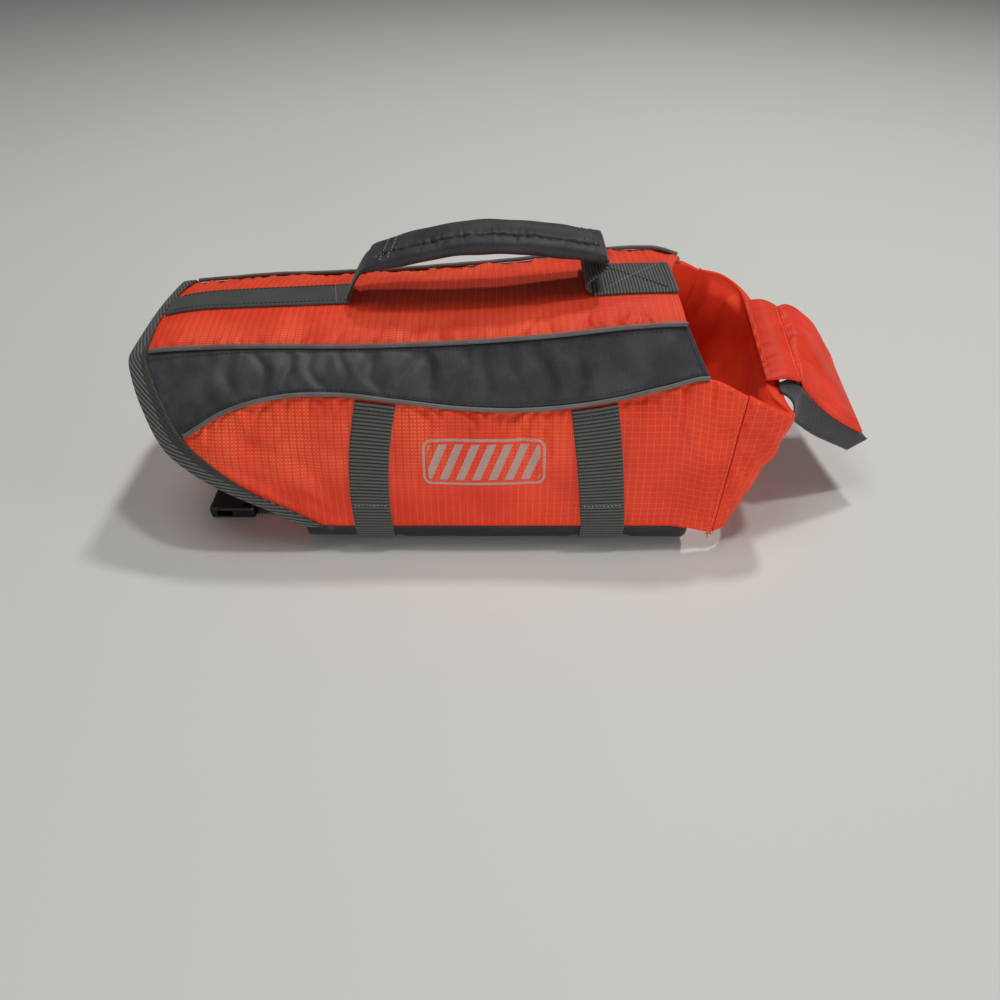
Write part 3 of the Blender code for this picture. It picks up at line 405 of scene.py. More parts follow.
def seam_roll(away):
    """Cloth turning down into a piped seam at a distance from it."""
    return float(edge_roll(away, 1.2))


def spread_columns(count, crowd=0.18):
    """Fractions from 0 to 1 along a panel, a little closer together at its ends."""
    t = np.linspace(0.0, 1.0, count)
    return t * (1.0 - crowd) + crowd * ease(t)


def quad_grid(rows, columns, offset, flip):
    index = offset + np.arange(rows * columns).reshape(rows, columns)
    corners = [index[:-1, :-1], index[:-1, 1:], index[1:, 1:], index[1:, :-1]]
    quads = np.stack(corners, axis=-1).reshape(-1, 4)
    return quads[:, ::-1] if flip else quads


def signed_volume(points, quads):
    a, b, c, d = (points[quads[:, k]] for k in range(4))
    return float((a * np.cross(b, c)).sum() + (a * np.cross(c, d)).sum()) / 6.0


def mesh_of(name, points, quads, uvs, inside=None):
    """Mesh from arrays; inside marks the faces that take the second material."""
    mesh = bpy.data.meshes.new(name)
    mesh.from_pydata(points.tolist(), [], quads.tolist())
    layer = mesh.uv_layers.new(name="cloth")
    layer.data.foreach_set("uv", uvs[quads.reshape(-1)].astype(np.float32).reshape(-1))
    if inside is not None:
        mesh.polygons.foreach_set("material_index", inside.astype(np.int32))
    mesh.polygons.foreach_set("use_smooth", np.ones(len(quads), bool))
    mesh.update()
    return mesh


def closed_wall(name, outer, inner, uv):
    """Closed wall between two grids of points; its inner face and rim take the second material."""
    outer, inner, uv = np.array(outer), np.array(inner), np.array(uv)
    rows, columns = outer.shape[:2]
    points = np.concatenate([outer.reshape(-1, 3), inner.reshape(-1, 3)])
    uvs = np.concatenate([uv.reshape(-1, 2), uv.reshape(-1, 2)])
    start = rows * columns
    quads = [quad_grid(rows, columns, 0, False), quad_grid(rows, columns, start, True)]
    index = np.arange(start).reshape(rows, columns)
    loop = np.concatenate([index[0, :-1], index[:-1, -1], index[-1, :0:-1], index[:0:-1, 0]])
    ahead = np.roll(loop, -1)
    quads.append(np.stack([ahead, loop, loop + start, ahead + start], axis=-1))
    quads = np.concatenate(quads)
    inside = np.ones(len(quads), int)
    inside[:(rows - 1) * (columns - 1)] = 0
    if signed_volume(points, quads) < 0.0:
        quads = quads[:, ::-1]
    return mesh_of(name, points, quads, uvs, inside)


def place(name, mesh, *materials):
    piece = bpy.data.objects.new(name, mesh)
    scene.collection.objects.link(piece)
    for material in materials:
        mesh.materials.append(material)
    return piece


def settle(piece, slot, *nodes):
    """Fixes a piece to the jacket's body, in place of the solids that it dresses; slot is not used."""
    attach(piece, "root")
    if nodes:
        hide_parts(*nodes)
    return piece


def padded_piece(name, node, slot, outer, inner, uv, fill, *cloths):
    """Closed padded piece between its outer and inner rows of points."""
    mesh = closed_wall(name, outer, inner, uv)
    settle(place(name, mesh, *cloths), slot, node)


def skin_panel(name, node, slot, lines, columns, relief, across, fill, cloth):
    """Padded panel on the jacket's skin; lines are (girth, side), and across gives the cloth's other way."""
    outer, inner, uv = [], [], []
    for girth, side in lines:
        x = rear_x(girth, side) + (front_x(girth, side) - rear_x(girth, side)) * spread_columns(columns)
        outer.append(skin(x, girth, side, relief(x, girth, side)))
        inner.append(skin(x, girth, side, -wall_thickness(x, girth, side)))
        uv.append(np.column_stack([x, across(x, girth, side)]) * MM)
    padded_piece(name, node, slot, outer, inner, uv, fill, cloth, LINING_CLOTH)


def girth_run(first, last, count, side):
    """Even girth positions on one side, each with its side."""
    return [(girth, side) for girth in np.linspace(first, last, count)]


def clear_of_binding(x, girth, side, fade):
    return ease((x - rear_x(girth, side) - binding_reach(girth)) / fade)


class Tree:
    """Short ways to place and join nodes in a shader tree or a group."""

    def __init__(self, tree):
        self.tree = tree

    def node(self, kind, **settings):
        made = self.tree.nodes.new(kind)
        for key, value in settings.items():
            setattr(made, key, value)
        return made

    def link(self, start, end):
        self.tree.links.new(start, end)

    def put(self, value, socket):
        if isinstance(value, bpy.types.NodeSocket):
            self.link(value, socket)
        else:
            socket.default_value = value

    def fed(self, kind, inputs, **settings):
        """A node with values or sockets put into its inputs."""
        made = self.node(kind, **settings)
        for key, value in inputs.items():
            self.put(value, made.inputs[key])
        return made.outputs

    def apart(self, vector):
        return self.fed("ShaderNodeSeparateXYZ", {0: vector})

    def object_place(self):
        return self.node("ShaderNodeTexCoord").outputs["Object"]

    def math(self, operation, *values, clamp=False):
        made = self.node("ShaderNodeMath", operation=operation, use_clamp=clamp)
        for value, socket in zip(values, made.inputs):
            self.put(value, socket)
        return made.outputs[0]

    def times(self, a, b, clamp=False):
        return self.math("MULTIPLY", a, b, clamp=clamp)

    def times_add(self, a, b, c, clamp=False):
        return self.math("MULTIPLY_ADD", a, b, c, clamp=clamp)

    def span(self, value, low, high, to_low=0.0, to_high=1.0):
        made = self.node("ShaderNodeMapRange", interpolation_type="SMOOTHSTEP")
        for item, socket in zip((value, low, high, to_low, to_high), made.inputs):
            self.put(item, socket)
        return made.outputs[0]

    def mix(self, factor, a, b):
        return self.fed("ShaderNodeMix", {0: factor, 6: a, 7: b}, data_type="RGBA")[2]

    def noise(self, vector, scale, detail=2.0, rough=0.5):
        inputs = {"Vector": vector, "Scale": scale, "Detail": detail, "Roughness": rough}
        return self.fed("ShaderNodeTexNoise", inputs)["Fac"]

    def group(self, tree, **values):
        inputs = {key.replace("_", " "): value for key, value in values.items()}
        return self.fed("ShaderNodeGroup", inputs, node_tree=tree)


def open_sockets(tree, way, kind, values):
    """Named sockets of one kind; a value of None leaves the kind's own."""
    for label, value in values.items():
        made = tree.interface.new_socket(name=label, in_out=way, socket_type="NodeSocket" + kind)
        if value is not None:
            made.default_value = value


def new_group(name, inputs, outputs):
    """Shader group that takes a Place and named numbers, and gives out named numbers."""
    tree = bpy.data.node_groups.new(name, "ShaderNodeTree")
    open_sockets(tree, "INPUT", "Vector", {"Place": None})
    open_sockets(tree, "INPUT", "Float", inputs)
    open_sockets(tree, "OUTPUT", "Float", dict.fromkeys(outputs))
    t = Tree(tree)
    return tree, t, t.node("NodeGroupInput").outputs, t.node("NodeGroupOutput").inputs


def stripe_distance(t, value, pitch):
    """Distance from the middle of the nearest of many even lines, as a share of their pitch."""
    cell = t.math("FRACT", t.math("DIVIDE", value, pitch))
    return t.math("ABSOLUTE", t.math("SUBTRACT", cell, 0.5))


def plain_weave_group():
    """Over-and-under threads of a plain cloth: a height and a tone."""
    tree, t, enter, leave = new_group(
        "Plain weave",
        {"Across Pitch": 0.0005, "Along Pitch": 0.0005}, ["Height", "Tone"])
    apart = t.apart(enter["Place"])
    waves = []
    for axis, pitch in ((0, "Across Pitch"), (1, "Along Pitch")):
        turn = t.times(t.math("DIVIDE", apart[axis], enter[pitch]), 2.0 * math.pi)
        waves.append(t.math("SINE", turn))
    woven = t.times(waves[0], waves[1])
    t.link(t.times_add(woven, 0.5, 0.5), leave["Height"])
    slub = t.noise(enter["Place"], 900.0, 2.0, 0.6)
    t.link(t.times_add(woven, 0.25, slub), leave["Tone"])
    return tree


# The second pitches place specks of painted shine: pale highlights on the threads, not marks in the cloth.
THREAD_BEAD, PAINTED_SHINE_PITCHES = 0.00085, (0.0020, 0.0019)      # beads along the grid, dots of the shine


def ripstop_group():
    """Raised grid of thicker threads: masks for its two directions, specks of painted shine, and a height.
    """
    tree, t, enter, leave = new_group(
        "Ripstop grid",
        {"Cell Length": 0.004, "Cell Height": 0.0034, "Thread": 0.10},
        ["Upright", "Level", "Painted Shine", "Height"])
    apart = t.apart(enter["Place"])
    beads = []
    for axis in (1, 0):
        turn = t.times(t.math("DIVIDE", apart[axis], THREAD_BEAD), 2.0 * math.pi)
        beads.append(t.times_add(t.math("SINE", turn), 0.35, 0.65))
    masks = []
    for axis, pitch, bead in ((0, "Cell Length", beads[0]), (1, "Cell Height", beads[1])):
        away = stripe_distance(t, apart[axis], enter[pitch])
        line = t.span(away, enter["Thread"], 0.0)
        masks.append(t.times(line, bead))
    t.link(masks[0], leave["Upright"])
    masks[1] = t.times(masks[1], t.span(apart[0], -0.04, 0.08, 0.12, 1.0))
    t.link(masks[1], leave["Level"])
    painted_shine_dots = []
    # Painted shine: pale specks that fade out near the hem of a side (and near the spine of the back) and
    # towards the front, a highlight that follows the light.
    for axis, pitch in enumerate(PAINTED_SHINE_PITCHES):
        painted_shine_dots.append(t.span(stripe_distance(t, apart[axis], pitch), 0.34, 0.16))
    upper = t.span(t.math("ABSOLUTE", apart[1]), 0.012, 0.048, 0.0, 1.0)
    rear = t.span(apart[0], 0.09, -0.04, 0.04, 1.0)
    dot = t.times(t.times(painted_shine_dots[0], painted_shine_dots[1]), t.times(upper, rear))
    t.link(dot, leave["Painted Shine"])
    lines = t.math("MAXIMUM", masks[0], masks[1])
    t.link(t.math("MAXIMUM", lines, t.times(dot, 0.6)), leave["Height"])
    return tree


def cloth_cloud_group():
    """Broad clouds and small flecks of noise: uneven tone of worn cloth, and on the slate cloth the places
    of its painted sheen.
    """
    tree, t, enter, leave = new_group("Cloth clouds", {"Cloud Size": 0.05}, ["Cloud", "Fleck"])
    t.link(t.noise(enter["Place"], t.math("DIVIDE", 1.0, enter["Cloud Size"]), 3.0, 0.55), leave["Cloud"])
    t.link(t.noise(enter["Place"], 2600.0, 1.0, 0.5), leave["Fleck"])
    return tree


PLAIN_WEAVE, RIPSTOP, CLOTH_CLOUDS = plain_weave_group(), ripstop_group(), cloth_cloud_group()


def cloth_place(t):
    """The piece's own cloth map in metres, as a vector."""
    return t.node("ShaderNodeUVMap", uv_map="cloth").outputs[0]


def new_material(name):
    """Tree of a new material, which also holds the material and its shader's inputs."""
    material = bpy.data.materials.new(name)
    material.use_nodes = True
    t = Tree(material.node_tree)
    t.material, t.shader = material, material.node_tree.nodes["Principled BSDF"].inputs
    return t


def bumped(t, *heights):
    """Joins bumps, each a height with its depth in metres and its strength, and gives the material back."""
    bump = {}
    for height, depth, strength in heights:
        inputs = {"Height": height, "Distance": depth, "Strength": strength}
        bump = {"Normal": t.fed("ShaderNodeBump", inputs | bump)[0]}
    t.link(bump["Normal"], t.shader["Normal"])
    return t.material


def surface(t, colour, rough, **settings):
    """Joins a colour and a roughness to a shader and sets its other inputs by name."""
    t.link(colour, t.shader["Base Color"])
    t.link(rough, t.shader["Roughness"])
    for key, value in settings.items():
        t.shader[key.replace("_", " ")].default_value = value


ORANGE_DEEP = (0.78, 0.030, 0.010, 1.0)
ORANGE_BRIGHT = (0.96, 0.048, 0.016, 1.0)
ORANGE_THREAD = (1.0, 0.27, 0.11, 1.0)


def orange_ripstop(name, printed=None):
    """Orange nylon with a raised grid; a print may lie on it."""
    t = new_material(name)
    place_on = cloth_place(t)
    grid = t.group(RIPSTOP, Place=place_on)
    weave = t.group(PLAIN_WEAVE, Place=place_on, Across_Pitch=0.00042, Along_Pitch=0.00042)
    cloth_clouds = t.group(CLOTH_CLOUDS, Place=t.object_place(), Cloud_Size=0.035)
    ground = t.mix(t.span(cloth_clouds["Cloud"], 0.3, 0.7), ORANGE_DEEP, ORANGE_BRIGHT)
    ground = t.mix(t.times(weave["Tone"], 0.12), ground, ORANGE_THREAD)
    patch = t.span(cloth_clouds["Cloud"], 0.38, 0.62)
    upright = t.times(grid["Upright"], t.times_add(patch, 0.3, 0.35))
    # The specks of painted shine are mixed towards the pale thread colour as highlights.
    painted_shine_dots = t.times(grid["Painted Shine"], t.times_add(patch, 0.5, 0.25))
    raised = t.math("MAXIMUM", upright, t.times(grid["Level"], 0.42))
    raised = t.math("MAXIMUM", raised, painted_shine_dots)
    colour = t.mix(raised, ground, ORANGE_THREAD)
    rough = t.span(cloth_clouds["Fleck"], 0.2, 0.8, 0.42, 0.6)
    if printed:
        ink, tint = printed(t, place_on)
        colour = t.mix(ink, colour, tint)
    surface(t, colour, rough, Sheen_Weight=0.04, Sheen_Roughness=0.35,
            Sheen_Tint=(1.0, 0.5, 0.36, 1.0), Specular_IOR_Level=0.22)
    return bumped(t, (grid["Height"], 0.00020, 0.5), (weave["Height"], 0.00006, 0.5))


def orange_plain(name, shine, low=ORANGE_DEEP, high=ORANGE_BRIGHT):
    """Plain orange cloth without the raised grid, for the inside and the chin float."""
    t = new_material(name)
    place_on = cloth_place(t)
    weave = t.group(PLAIN_WEAVE, Place=place_on, Across_Pitch=0.0005, Along_Pitch=0.0005)
    cloth_clouds = t.group(CLOTH_CLOUDS, Place=t.object_place(), Cloud_Size=0.03)
    colour = t.mix(t.span(cloth_clouds["Cloud"], 0.3, 0.7), low, high)
    colour = t.mix(t.times(weave["Tone"], 0.1), colour, ORANGE_THREAD)
    surface(t, colour, t.span(cloth_clouds["Fleck"], 0.2, 0.8, 0.40, 0.58), Specular_IOR_Level=shine)
    return bumped(t, (weave["Height"], 0.00008, 0.6))


RIPSTOP_CLOTH = orange_ripstop("orange_ripstop")
# The lining's orange is painted lighter than the outer cloth's, as painted light for the lining that shows
# inside the neck.
LINING_CLOTH = orange_plain("orange_lining_painted_light", 0.15, (0.92, 0.045, 0.016, 1.0), (1.0, 0.075, 0.028, 1.0))

TOP_HALF_ROWS, TOP_COLUMNS = 32, 380
SPINE_FLAT, SPINE_FLAT_FADE = 20.0, 9.0     # half width that the webbing holds flat
TOP_WAVES = [(46.0, 0.5, 0.4, 0.22), (31.0, -0.7, 2.1, 0.16), (19.0, 1.2, 1.0, 0.1)]
top_rng = np.random.default_rng(21)
TOP_GATHERS = {
    NEAR: gathers(top_rng, -188.0, 96.0, 6.4, 1.7, 12.0),
    FAR: gathers(top_rng, -188.0, 104.0, 6.4, 1.7, 12.0),
}


def top_relief(x, girth, side):
    """Folds of the back panel: gathers above the piping, slow slack, flat beneath the spine webbing."""
    half = station(x)[:, 1]
    away = float(np.mean(half)) * (1.0 - girth)
    relief = gather_relief(x, away, TOP_GATHERS[side]) * 1.15
    relief = relief + slack(x, away * side, TOP_WAVES)
    flat_strip = ease((half * girth - SPINE_FLAT) / SPINE_FLAT_FADE)
    hidden = clear_of_binding(x, girth, side, 6.0)
    turned = edge_roll(front_x(girth, side) - x) + seam_roll(away)
    return relief * flat_strip * hidden * ease(away / 1.5) + turned


def top_across(x, girth, side):
    return side * girth * station(x)[:, 1]


top_lines = [girth_run(GIRTH_GAP, UPPER - GIRTH_GAP, TOP_HALF_ROWS, side) for side in (NEAR, FAR)]
skin_panel("back_panel", "top_panel", "orange_ripstop", top_lines[0][::-1] + top_lines[1], TOP_COLUMNS,
           top_relief, top_across, 0.7, RIPSTOP_CLOTH)


# ================================================================ grey bands
# A dark slate band of plain woven cloth runs down each side between its two lines of piping.
# Thin foam lies behind it, and the cloth stands in soft waves where it was eased round the curve.
def slate_cloth(name, pitch=0.00056, tone=1.0):
    """Dark woven nylon with fine upright threads, a dull sheen and soft lighter patches of painted sheen;
    tone darkens or lightens it.
    """
    t = new_material(name)
    place_on = cloth_place(t)
    weave = t.group(PLAIN_WEAVE, Place=place_on, Across_Pitch=pitch, Along_Pitch=pitch * 1.6)
    cloth_clouds = t.group(CLOTH_CLOUDS, Place=t.object_place(), Cloud_Size=0.02)
    apart = t.apart(place_on)
    upright = stripe_distance(t, apart[0], pitch * 1.5)
    thread = t.times_add(upright, 1.1, t.times(weave["Tone"], 0.5))
    dark, light, painted_sheen = (tuple(tone * c for c in colour) + (1.0,) for colour in (
        (0.010, 0.0105, 0.013), (0.068, 0.069, 0.079), (0.086, 0.087, 0.097)))
    colour = t.mix(t.times(thread, 0.9, clamp=True), dark, light)
    # Painted sheen: where the clouds rise, the cloth is painted lighter as patches of sheen.
    colour = t.mix(t.span(cloth_clouds["Cloud"], 0.42, 0.62, 0.0, 0.4), colour, painted_sheen)
    surface(t, colour, t.span(cloth_clouds["Fleck"], 0.2, 0.8, 0.48, 0.66), Sheen_Weight=0.12,
            Sheen_Roughness=0.35, Specular_IOR_Level=0.4)
    return bumped(t, (upright, 0.00012, 0.6), (weave["Height"], 0.00007, 0.5))


SLATE_CLOTH = slate_cloth("grey_oxford")
BAND_ROWS, BAND_COLUMNS, BAND_WIDTH = 34, 400, 32.0
# Waves of the band: x at the upper seam, how far each swings on its way down, and its depth and half width
Wave = namedtuple("Wave", "x swing depth half")
BAND_WAVES = [
    Wave(-156, 8, 1.0, 4.2), Wave(-143, 9, 1.5, 3.6), Wave(-127, 10, 1.7, 3.6), Wave(-113, 4, 1.6, 3.2),
    Wave(-99, 9, 1.9, 3.8), Wave(-84, -3, 1.3, 3.0), Wave(-68, 9, 2.0, 4.2), Wave(-50, -8, 1.5, 3.4),
    Wave(-38, 9, 1.9, 3.6), Wave(-20, -9, 1.6, 3.4), Wave(-9, -6, 1.8, 3.8), Wave(9, 7, 1.1, 3.4),
    Wave(23, 8, 1.7, 3.8), Wave(41, -7, 1.5, 3.4), Wave(58, 6, 0.8, 4.4), Wave(78, -6, 0.7, 5.0),
]
band_rng = np.random.default_rng(33)
BAND_GATHERS = [gathers(band_rng, -180.0, 108.0, 9.0, 0.4, 8.0) for _ in range(4)]


def band_relief(x, girth, side):
    """S-shaped waves and small gathers of the band, flat at its seams and beneath the binding."""
    across = girth - UPPER
    down, up = across * BAND_WIDTH, (1.0 - across) * BAND_WIDTH
    above, below = BAND_GATHERS[:2] if side == NEAR else BAND_GATHERS[2:]
    relief = gather_relief(x, down, above) + gather_relief(x, up, below)
    for wave in BAND_WAVES:
        middle = wave.x + wave.swing * (across - 0.5) + 2.6 * math.sin(2 * math.pi * across + wave.x)
        away = (x - middle) / wave.half
        middle_bias = math.sin(math.pi * across ** 0.75) ** 0.9
        relief = relief - wave.depth * (1.0 - 0.15 * away * away) * np.exp(-away * away) * middle_bias
    hidden = clear_of_binding(x, girth, side, 7.0)
    edge = ease(down / 3.0) * ease(up / 3.0)
    front = ease((front_x(girth, side) - x) / 9.0)
    rolled = seam_roll(down) + seam_roll(up)
    turned = edge_roll(front_x(girth, side) - x, 1.0) + rolled
    return relief * hidden * edge * front + turned


def chord_length(x, panel, side):
    return np.linalg.norm(seam(x, panel + 1, side) - seam(x, panel, side), axis=1)


def band_across(x, girth, side):
    return chord_length(x, 1, side) * (girth - UPPER)


for word, side in (("near", NEAR), ("far", FAR)):
    lines = girth_run(UPPER + GIRTH_GAP, LOWER - GIRTH_GAP, BAND_ROWS, side)
    skin_panel(f"grey_band_{word}", f"band_{word}", "grey_oxford", lines, BAND_COLUMNS, band_relief,
               band_across, 0.6, SLATE_CLOTH)


# ================================================================ side panels
# The two large foam sides carry the straps; the same orange ripstop covers them down to the hem.
# Webbing sewn over them presses the foam in, and the cloth gathers under the piping and at the neck.
SIDE_ROWS, SIDE_COLUMNS = 64, 400
SIDE_WAVES = [(64.0, 0.4, 1.4, 0.35), (38.0, -0.9, 0.3, 0.22), (23.0, 1.1, 2.6, 0.12)]
side_rng = np.random.default_rng(47)
SIDE_GATHERS = {
    side: (gathers(side_rng, -168.0, 130.0, 5.6, 2.4, 11.0),
           gathers(side_rng, -100.0, 120.0, 12.0, 0.6, 7.0),
           gathers(side_rng, 2.0, 76.0, 4.4, 1.2, 8.0))
    for side in (NEAR, FAR)
}
# Long slanting folds: where each starts and ends as x and distance from the hem, depth and half width
Fold = namedtuple("Fold", "x0 v0 x1 v1 depth half")
SIDE_FOLDS = [
    Fold(-158, 40, -112, 18, 1.5, 4.5), Fold(-146, 52, -96, 33, 1.1, 4.5), Fold(-128, 58, -92, 50, 0.8, 3.5),
    Fold(-120, 24, -92, 8, 0.9, 4.0), Fold(17, 62, 28, 40, 1.6, 3.8), Fold(8, 60, 12, 46, 0.9, 3.0),
    Fold(-44, 58, -36, 44, 0.9, 3.2), Fold(-22, 60, -14, 48, 0.8, 3.0), Fold(86, 66, 104, 44, 1.0, 4.0),
    Fold(104, 58, 124, 30, 1.1, 4.0), Fold(96, 30, 120, 20, 0.8, 4.0), Fold(100, 14, 118, 8, 0.7, 3.0),
]


def fold_relief(x, v, folds):
    """Height that long folds take from the cloth; each fades towards its two ends."""
    total = 0.0 * x
    for fold in folds:
        run = np.array([fold.x1 - fold.x0, fold.v1 - fold.v0])
        length = float(np.hypot(*run))
        dx, dv = x - fold.x0, v - fold.v0
        along = (dx * run[0] + dv * run[1]) / length
        aside = (dx * run[1] - dv * run[0]) / length
        aside = aside + 1.6 * np.sin(along / length * math.pi * 1.3)
        ends = ease(1.0 - np.abs(along / length - 0.5) * 2.0 + 0.25)
        away = aside / fold.half
        total = total - fold.depth * ends * (1.0 - 0.75 * away * away) * np.exp(-away * away)
    return total


def strap_x(run, girth):
    """x of a side strap's centre line at a girth position."""
    if girth >= HEM:
        return run.hem
    t = girth - LOWER
    slope = 4.0 * run.middle - 3.0 * run.top - run.hem
    bend = 2.0 * run.top + 2.0 * run.hem - 4.0 * run.middle
    return run.top + slope * t + bend * t * t


def near_strap(x, girth):
    """Distance in millimetres from each x to the nearer side strap's edge, 0 beneath a strap."""
    gaps = [np.abs(x - strap_x(run, girth)) - run.half for run in (REAR_STRAP, FRONT_STRAP)]
    return np.maximum(np.minimum(*gaps), 0.0)


def side_relief(x, girth, side):
    """Folds of a side: gathers at both seams, long folds, and foam that rises between the straps."""
    chord = chord_length(x, 2, side)
    v = chord * (HEM - girth)
    upper, lower, neck = SIDE_GATHERS[side]
    mean = float(chord.mean())
    relief = gather_relief(x, mean * (girth - LOWER), upper) + gather_relief(x, mean * (HEM - girth), lower)
    relief = relief + gather_relief(v, front_x(girth, side) - x, neck)
    relief = relief + fold_relief(x, v, SIDE_FOLDS) + slack(x, v, SIDE_WAVES)
    from_strap = near_strap(x, girth)
    puff = (1.0 - np.exp(-(from_strap / 7.0) ** 2)) * math.sin(math.pi * (girth - LOWER)) ** 0.5
    beside_strap = ease(from_strap / 3.0)
    hidden = clear_of_binding(x, girth, side, 7.0)
    seams = ease(mean * (girth - LOWER) / 2.5) * ease(mean * (HEM - girth) / 2.5)
    front = ease((front_x(girth, side) - x) / 1.8)
    turned = edge_roll(front_x(girth, side) - x, 0.5) + seam_roll(mean * (girth - LOWER))
    return (relief + puff) * beside_strap * hidden * seams * front + turned


# Plain reflective print on the near side: where its middle is, its size, and its slanting bars
PRINT_MIDDLE = (-0.0085, 0.0395)
PRINT_HALF, PRINT_CORNER = (0.033, 0.0125), 0.005
PRINT_LINE, PRINT_BAR_PITCH, PRINT_SLANT = 0.0013, 0.0088, 0.45
PRINT_GREY = (0.40, 0.36, 0.33, 1.0)


def side_print(t, place_on):
    """Rounded outline with slanting bars in it, in grey reflective ink that has begun to crack."""
    apart = t.apart(place_on)
    x = t.math("SUBTRACT", apart[0], PRINT_MIDDLE[0])
    y = t.math("SUBTRACT", apart[1], PRINT_MIDDLE[1])
    dx = t.math("MAXIMUM", t.math("SUBTRACT", t.math("ABSOLUTE", x), PRINT_HALF[0] - PRINT_CORNER), 0.0)
    dy = t.math("MAXIMUM", t.math("SUBTRACT", t.math("ABSOLUTE", y), PRINT_HALF[1] - PRINT_CORNER), 0.0)
    reach = t.math("SQRT", t.math("ADD", t.times(dx, dx), t.times(dy, dy)))
    inside = t.math("LESS_THAN", reach, PRINT_CORNER)
    core = t.math("LESS_THAN", reach, PRINT_CORNER - PRINT_LINE)
    bar_field = t.math("LESS_THAN", reach, PRINT_CORNER - 2.2 * PRINT_LINE)
    slanted = t.math("SUBTRACT", x, t.times(y, PRINT_SLANT))
    bars = t.math("GREATER_THAN", stripe_distance(t, slanted, PRINT_BAR_PITCH), 0.24)
    ring = t.times(inside, t.math("SUBTRACT", 1.0, core))
    ink = t.math("MAXIMUM", ring, t.times(bars, bar_field))
    worn = t.span(t.noise(place_on, 1500.0, 3.0, 0.7), 0.36, 0.46)
    tint = t.mix(t.noise(place_on, 700.0), PRINT_GREY, (0.52, 0.46, 0.42, 1.0))
    return t.times(ink, t.times(worn, 0.92)), tint


PRINTED_CLOTH = orange_ripstop("orange_ripstop_printed", side_print)


def side_across(x, girth, side):
    return chord_length(x, 2, side) * (HEM - girth)


for word, side, cloth in (("near", NEAR, PRINTED_CLOTH), ("far", FAR, RIPSTOP_CLOTH)):
    lines = girth_run(LOWER + GIRTH_GAP, HEM - GIRTH_GAP, SIDE_ROWS, side)
    skin_panel(f"side_panel_{word}", f"side_{word}", "orange_ripstop", lines, SIDE_COLUMNS, side_relief,
               side_across, 0.8, cloth)


# ================================================================ belly panel
# The underside is one piece of the slate cloth over thin foam, sewn to both sides at the hem.
# It lies flat on the table, and rises a little where the front strap passes beneath it.
BELLY_COLUMNS = 150


def belly_panel():
    turn = np.linspace(HEM + GIRTH_GAP, HEM + KEEL_TURN, 12)
    flat = np.linspace(HEM + KEEL_TURN, KEEL, 14)[1:]
    half = np.concatenate([turn, flat])
    outer, inner, uv = [], [], []
    for girth, side in [(g, NEAR) for g in half[:-1]] + [(KEEL, FAR)] + [(g, FAR) for g in half[:-1][::-1]]:
        x = np.linspace(rear_x(HEM, side), BELLY_FRONT_X, BELLY_COLUMNS)
        outer.append(skin(x, girth, side, edge_roll(BELLY_FRONT_X - x, 1.0)))
        inner.append(skin(x, girth, side, -wall_thickness(x, girth, side)))
        uv.append(np.column_stack([x * MM, side * (KEEL - girth) * 0.1 + 0.0 * x]))
    # The belly's copy of the slate cloth is painted at 0.4 of its tone: painted shade for the underside,
    # which faces the table.
    cloth = slate_cloth("belly_oxford_painted_shade", 0.00056, 0.4)
    padded_piece("belly_cloth", "belly_panel", "grey_oxford", outer, inner, uv, 0.5, cloth, LINING_CLOTH)


belly_panel()


# ================================================================ piping
# A grey cord wrapped in smooth reflective cloth is sewn into each long seam, two on each side.
# It stands half out of the seam, from the rear binding to the neck.
PIPE_RADIUS = 1.25
PIPE_SIDES, PIPE_STEPS = 14, 260


def geometry_tree(name, inputs):
    """Geometry tree with one geometry in and out, named numbers (whole ones stay whole) and a material."""
    tree = bpy.data.node_groups.new(name, "GeometryNodeTree")
    open_sockets(tree, "INPUT", "Geometry", {"Geometry": None})
    for label, value in inputs.items():
        open_sockets(tree, "INPUT", "Int" if isinstance(value, int) else "Float", {label: value})
    open_sockets(tree, "INPUT", "Material", {"Material": None})
    open_sockets(tree, "OUTPUT", "Geometry", {"Geometry": None})
    t = Tree(tree)
    return tree, t, t.node("NodeGroupInput").outputs, t.node("NodeGroupOutput").inputs


def finish_tree(t, geometry, enter, leave):
    """Every tree ends the same way: real geometry, in its own material."""
    real = t.fed("GeometryNodeRealizeInstances", {0: geometry})
    dressed = t.fed("GeometryNodeSetMaterial", {"Geometry": real[0], "Material": enter["Material"]})
    t.link(dressed[0], leave[0])


def grown(name, mesh, tree, **values):
    """Runs a geometry tree on a mesh and keeps the result as a plain mesh."""
    seed = bpy.data.objects.new(name + "_seed", mesh)
    scene.collection.objects.link(seed)
    modifier = seed.modifiers.new("Grow", "NODES")
    modifier.node_group = tree
    sockets = {item.name: item for item in tree.interface.items_tree if item.in_out == "INPUT"}
    for key, value in values.items():
        modifier[sockets[key.replace("_", " ")].identifier] = value
    seed.update_tag()
    bpy.context.view_layer.update()
    graph = bpy.context.evaluated_depsgraph_get()
    made = bpy.data.meshes.new_from_object(seed.evaluated_get(graph), depsgraph=graph)
    bpy.data.objects.remove(seed, do_unlink=True)
    piece = bpy.data.objects.new(name, made)
    scene.collection.objects.link(piece)
    return piece


def path_mesh(name, *paths):
    """Edges along one or more rows of points."""
    points, edges = [], []
    for path in paths:
        edges += [(len(points) + k, len(points) + k + 1) for k in range(len(path) - 1)]
        points += [tuple(p) for p in path]
    mesh = bpy.data.meshes.new(name)
    mesh.from_pydata(points, edges, [])
    return mesh


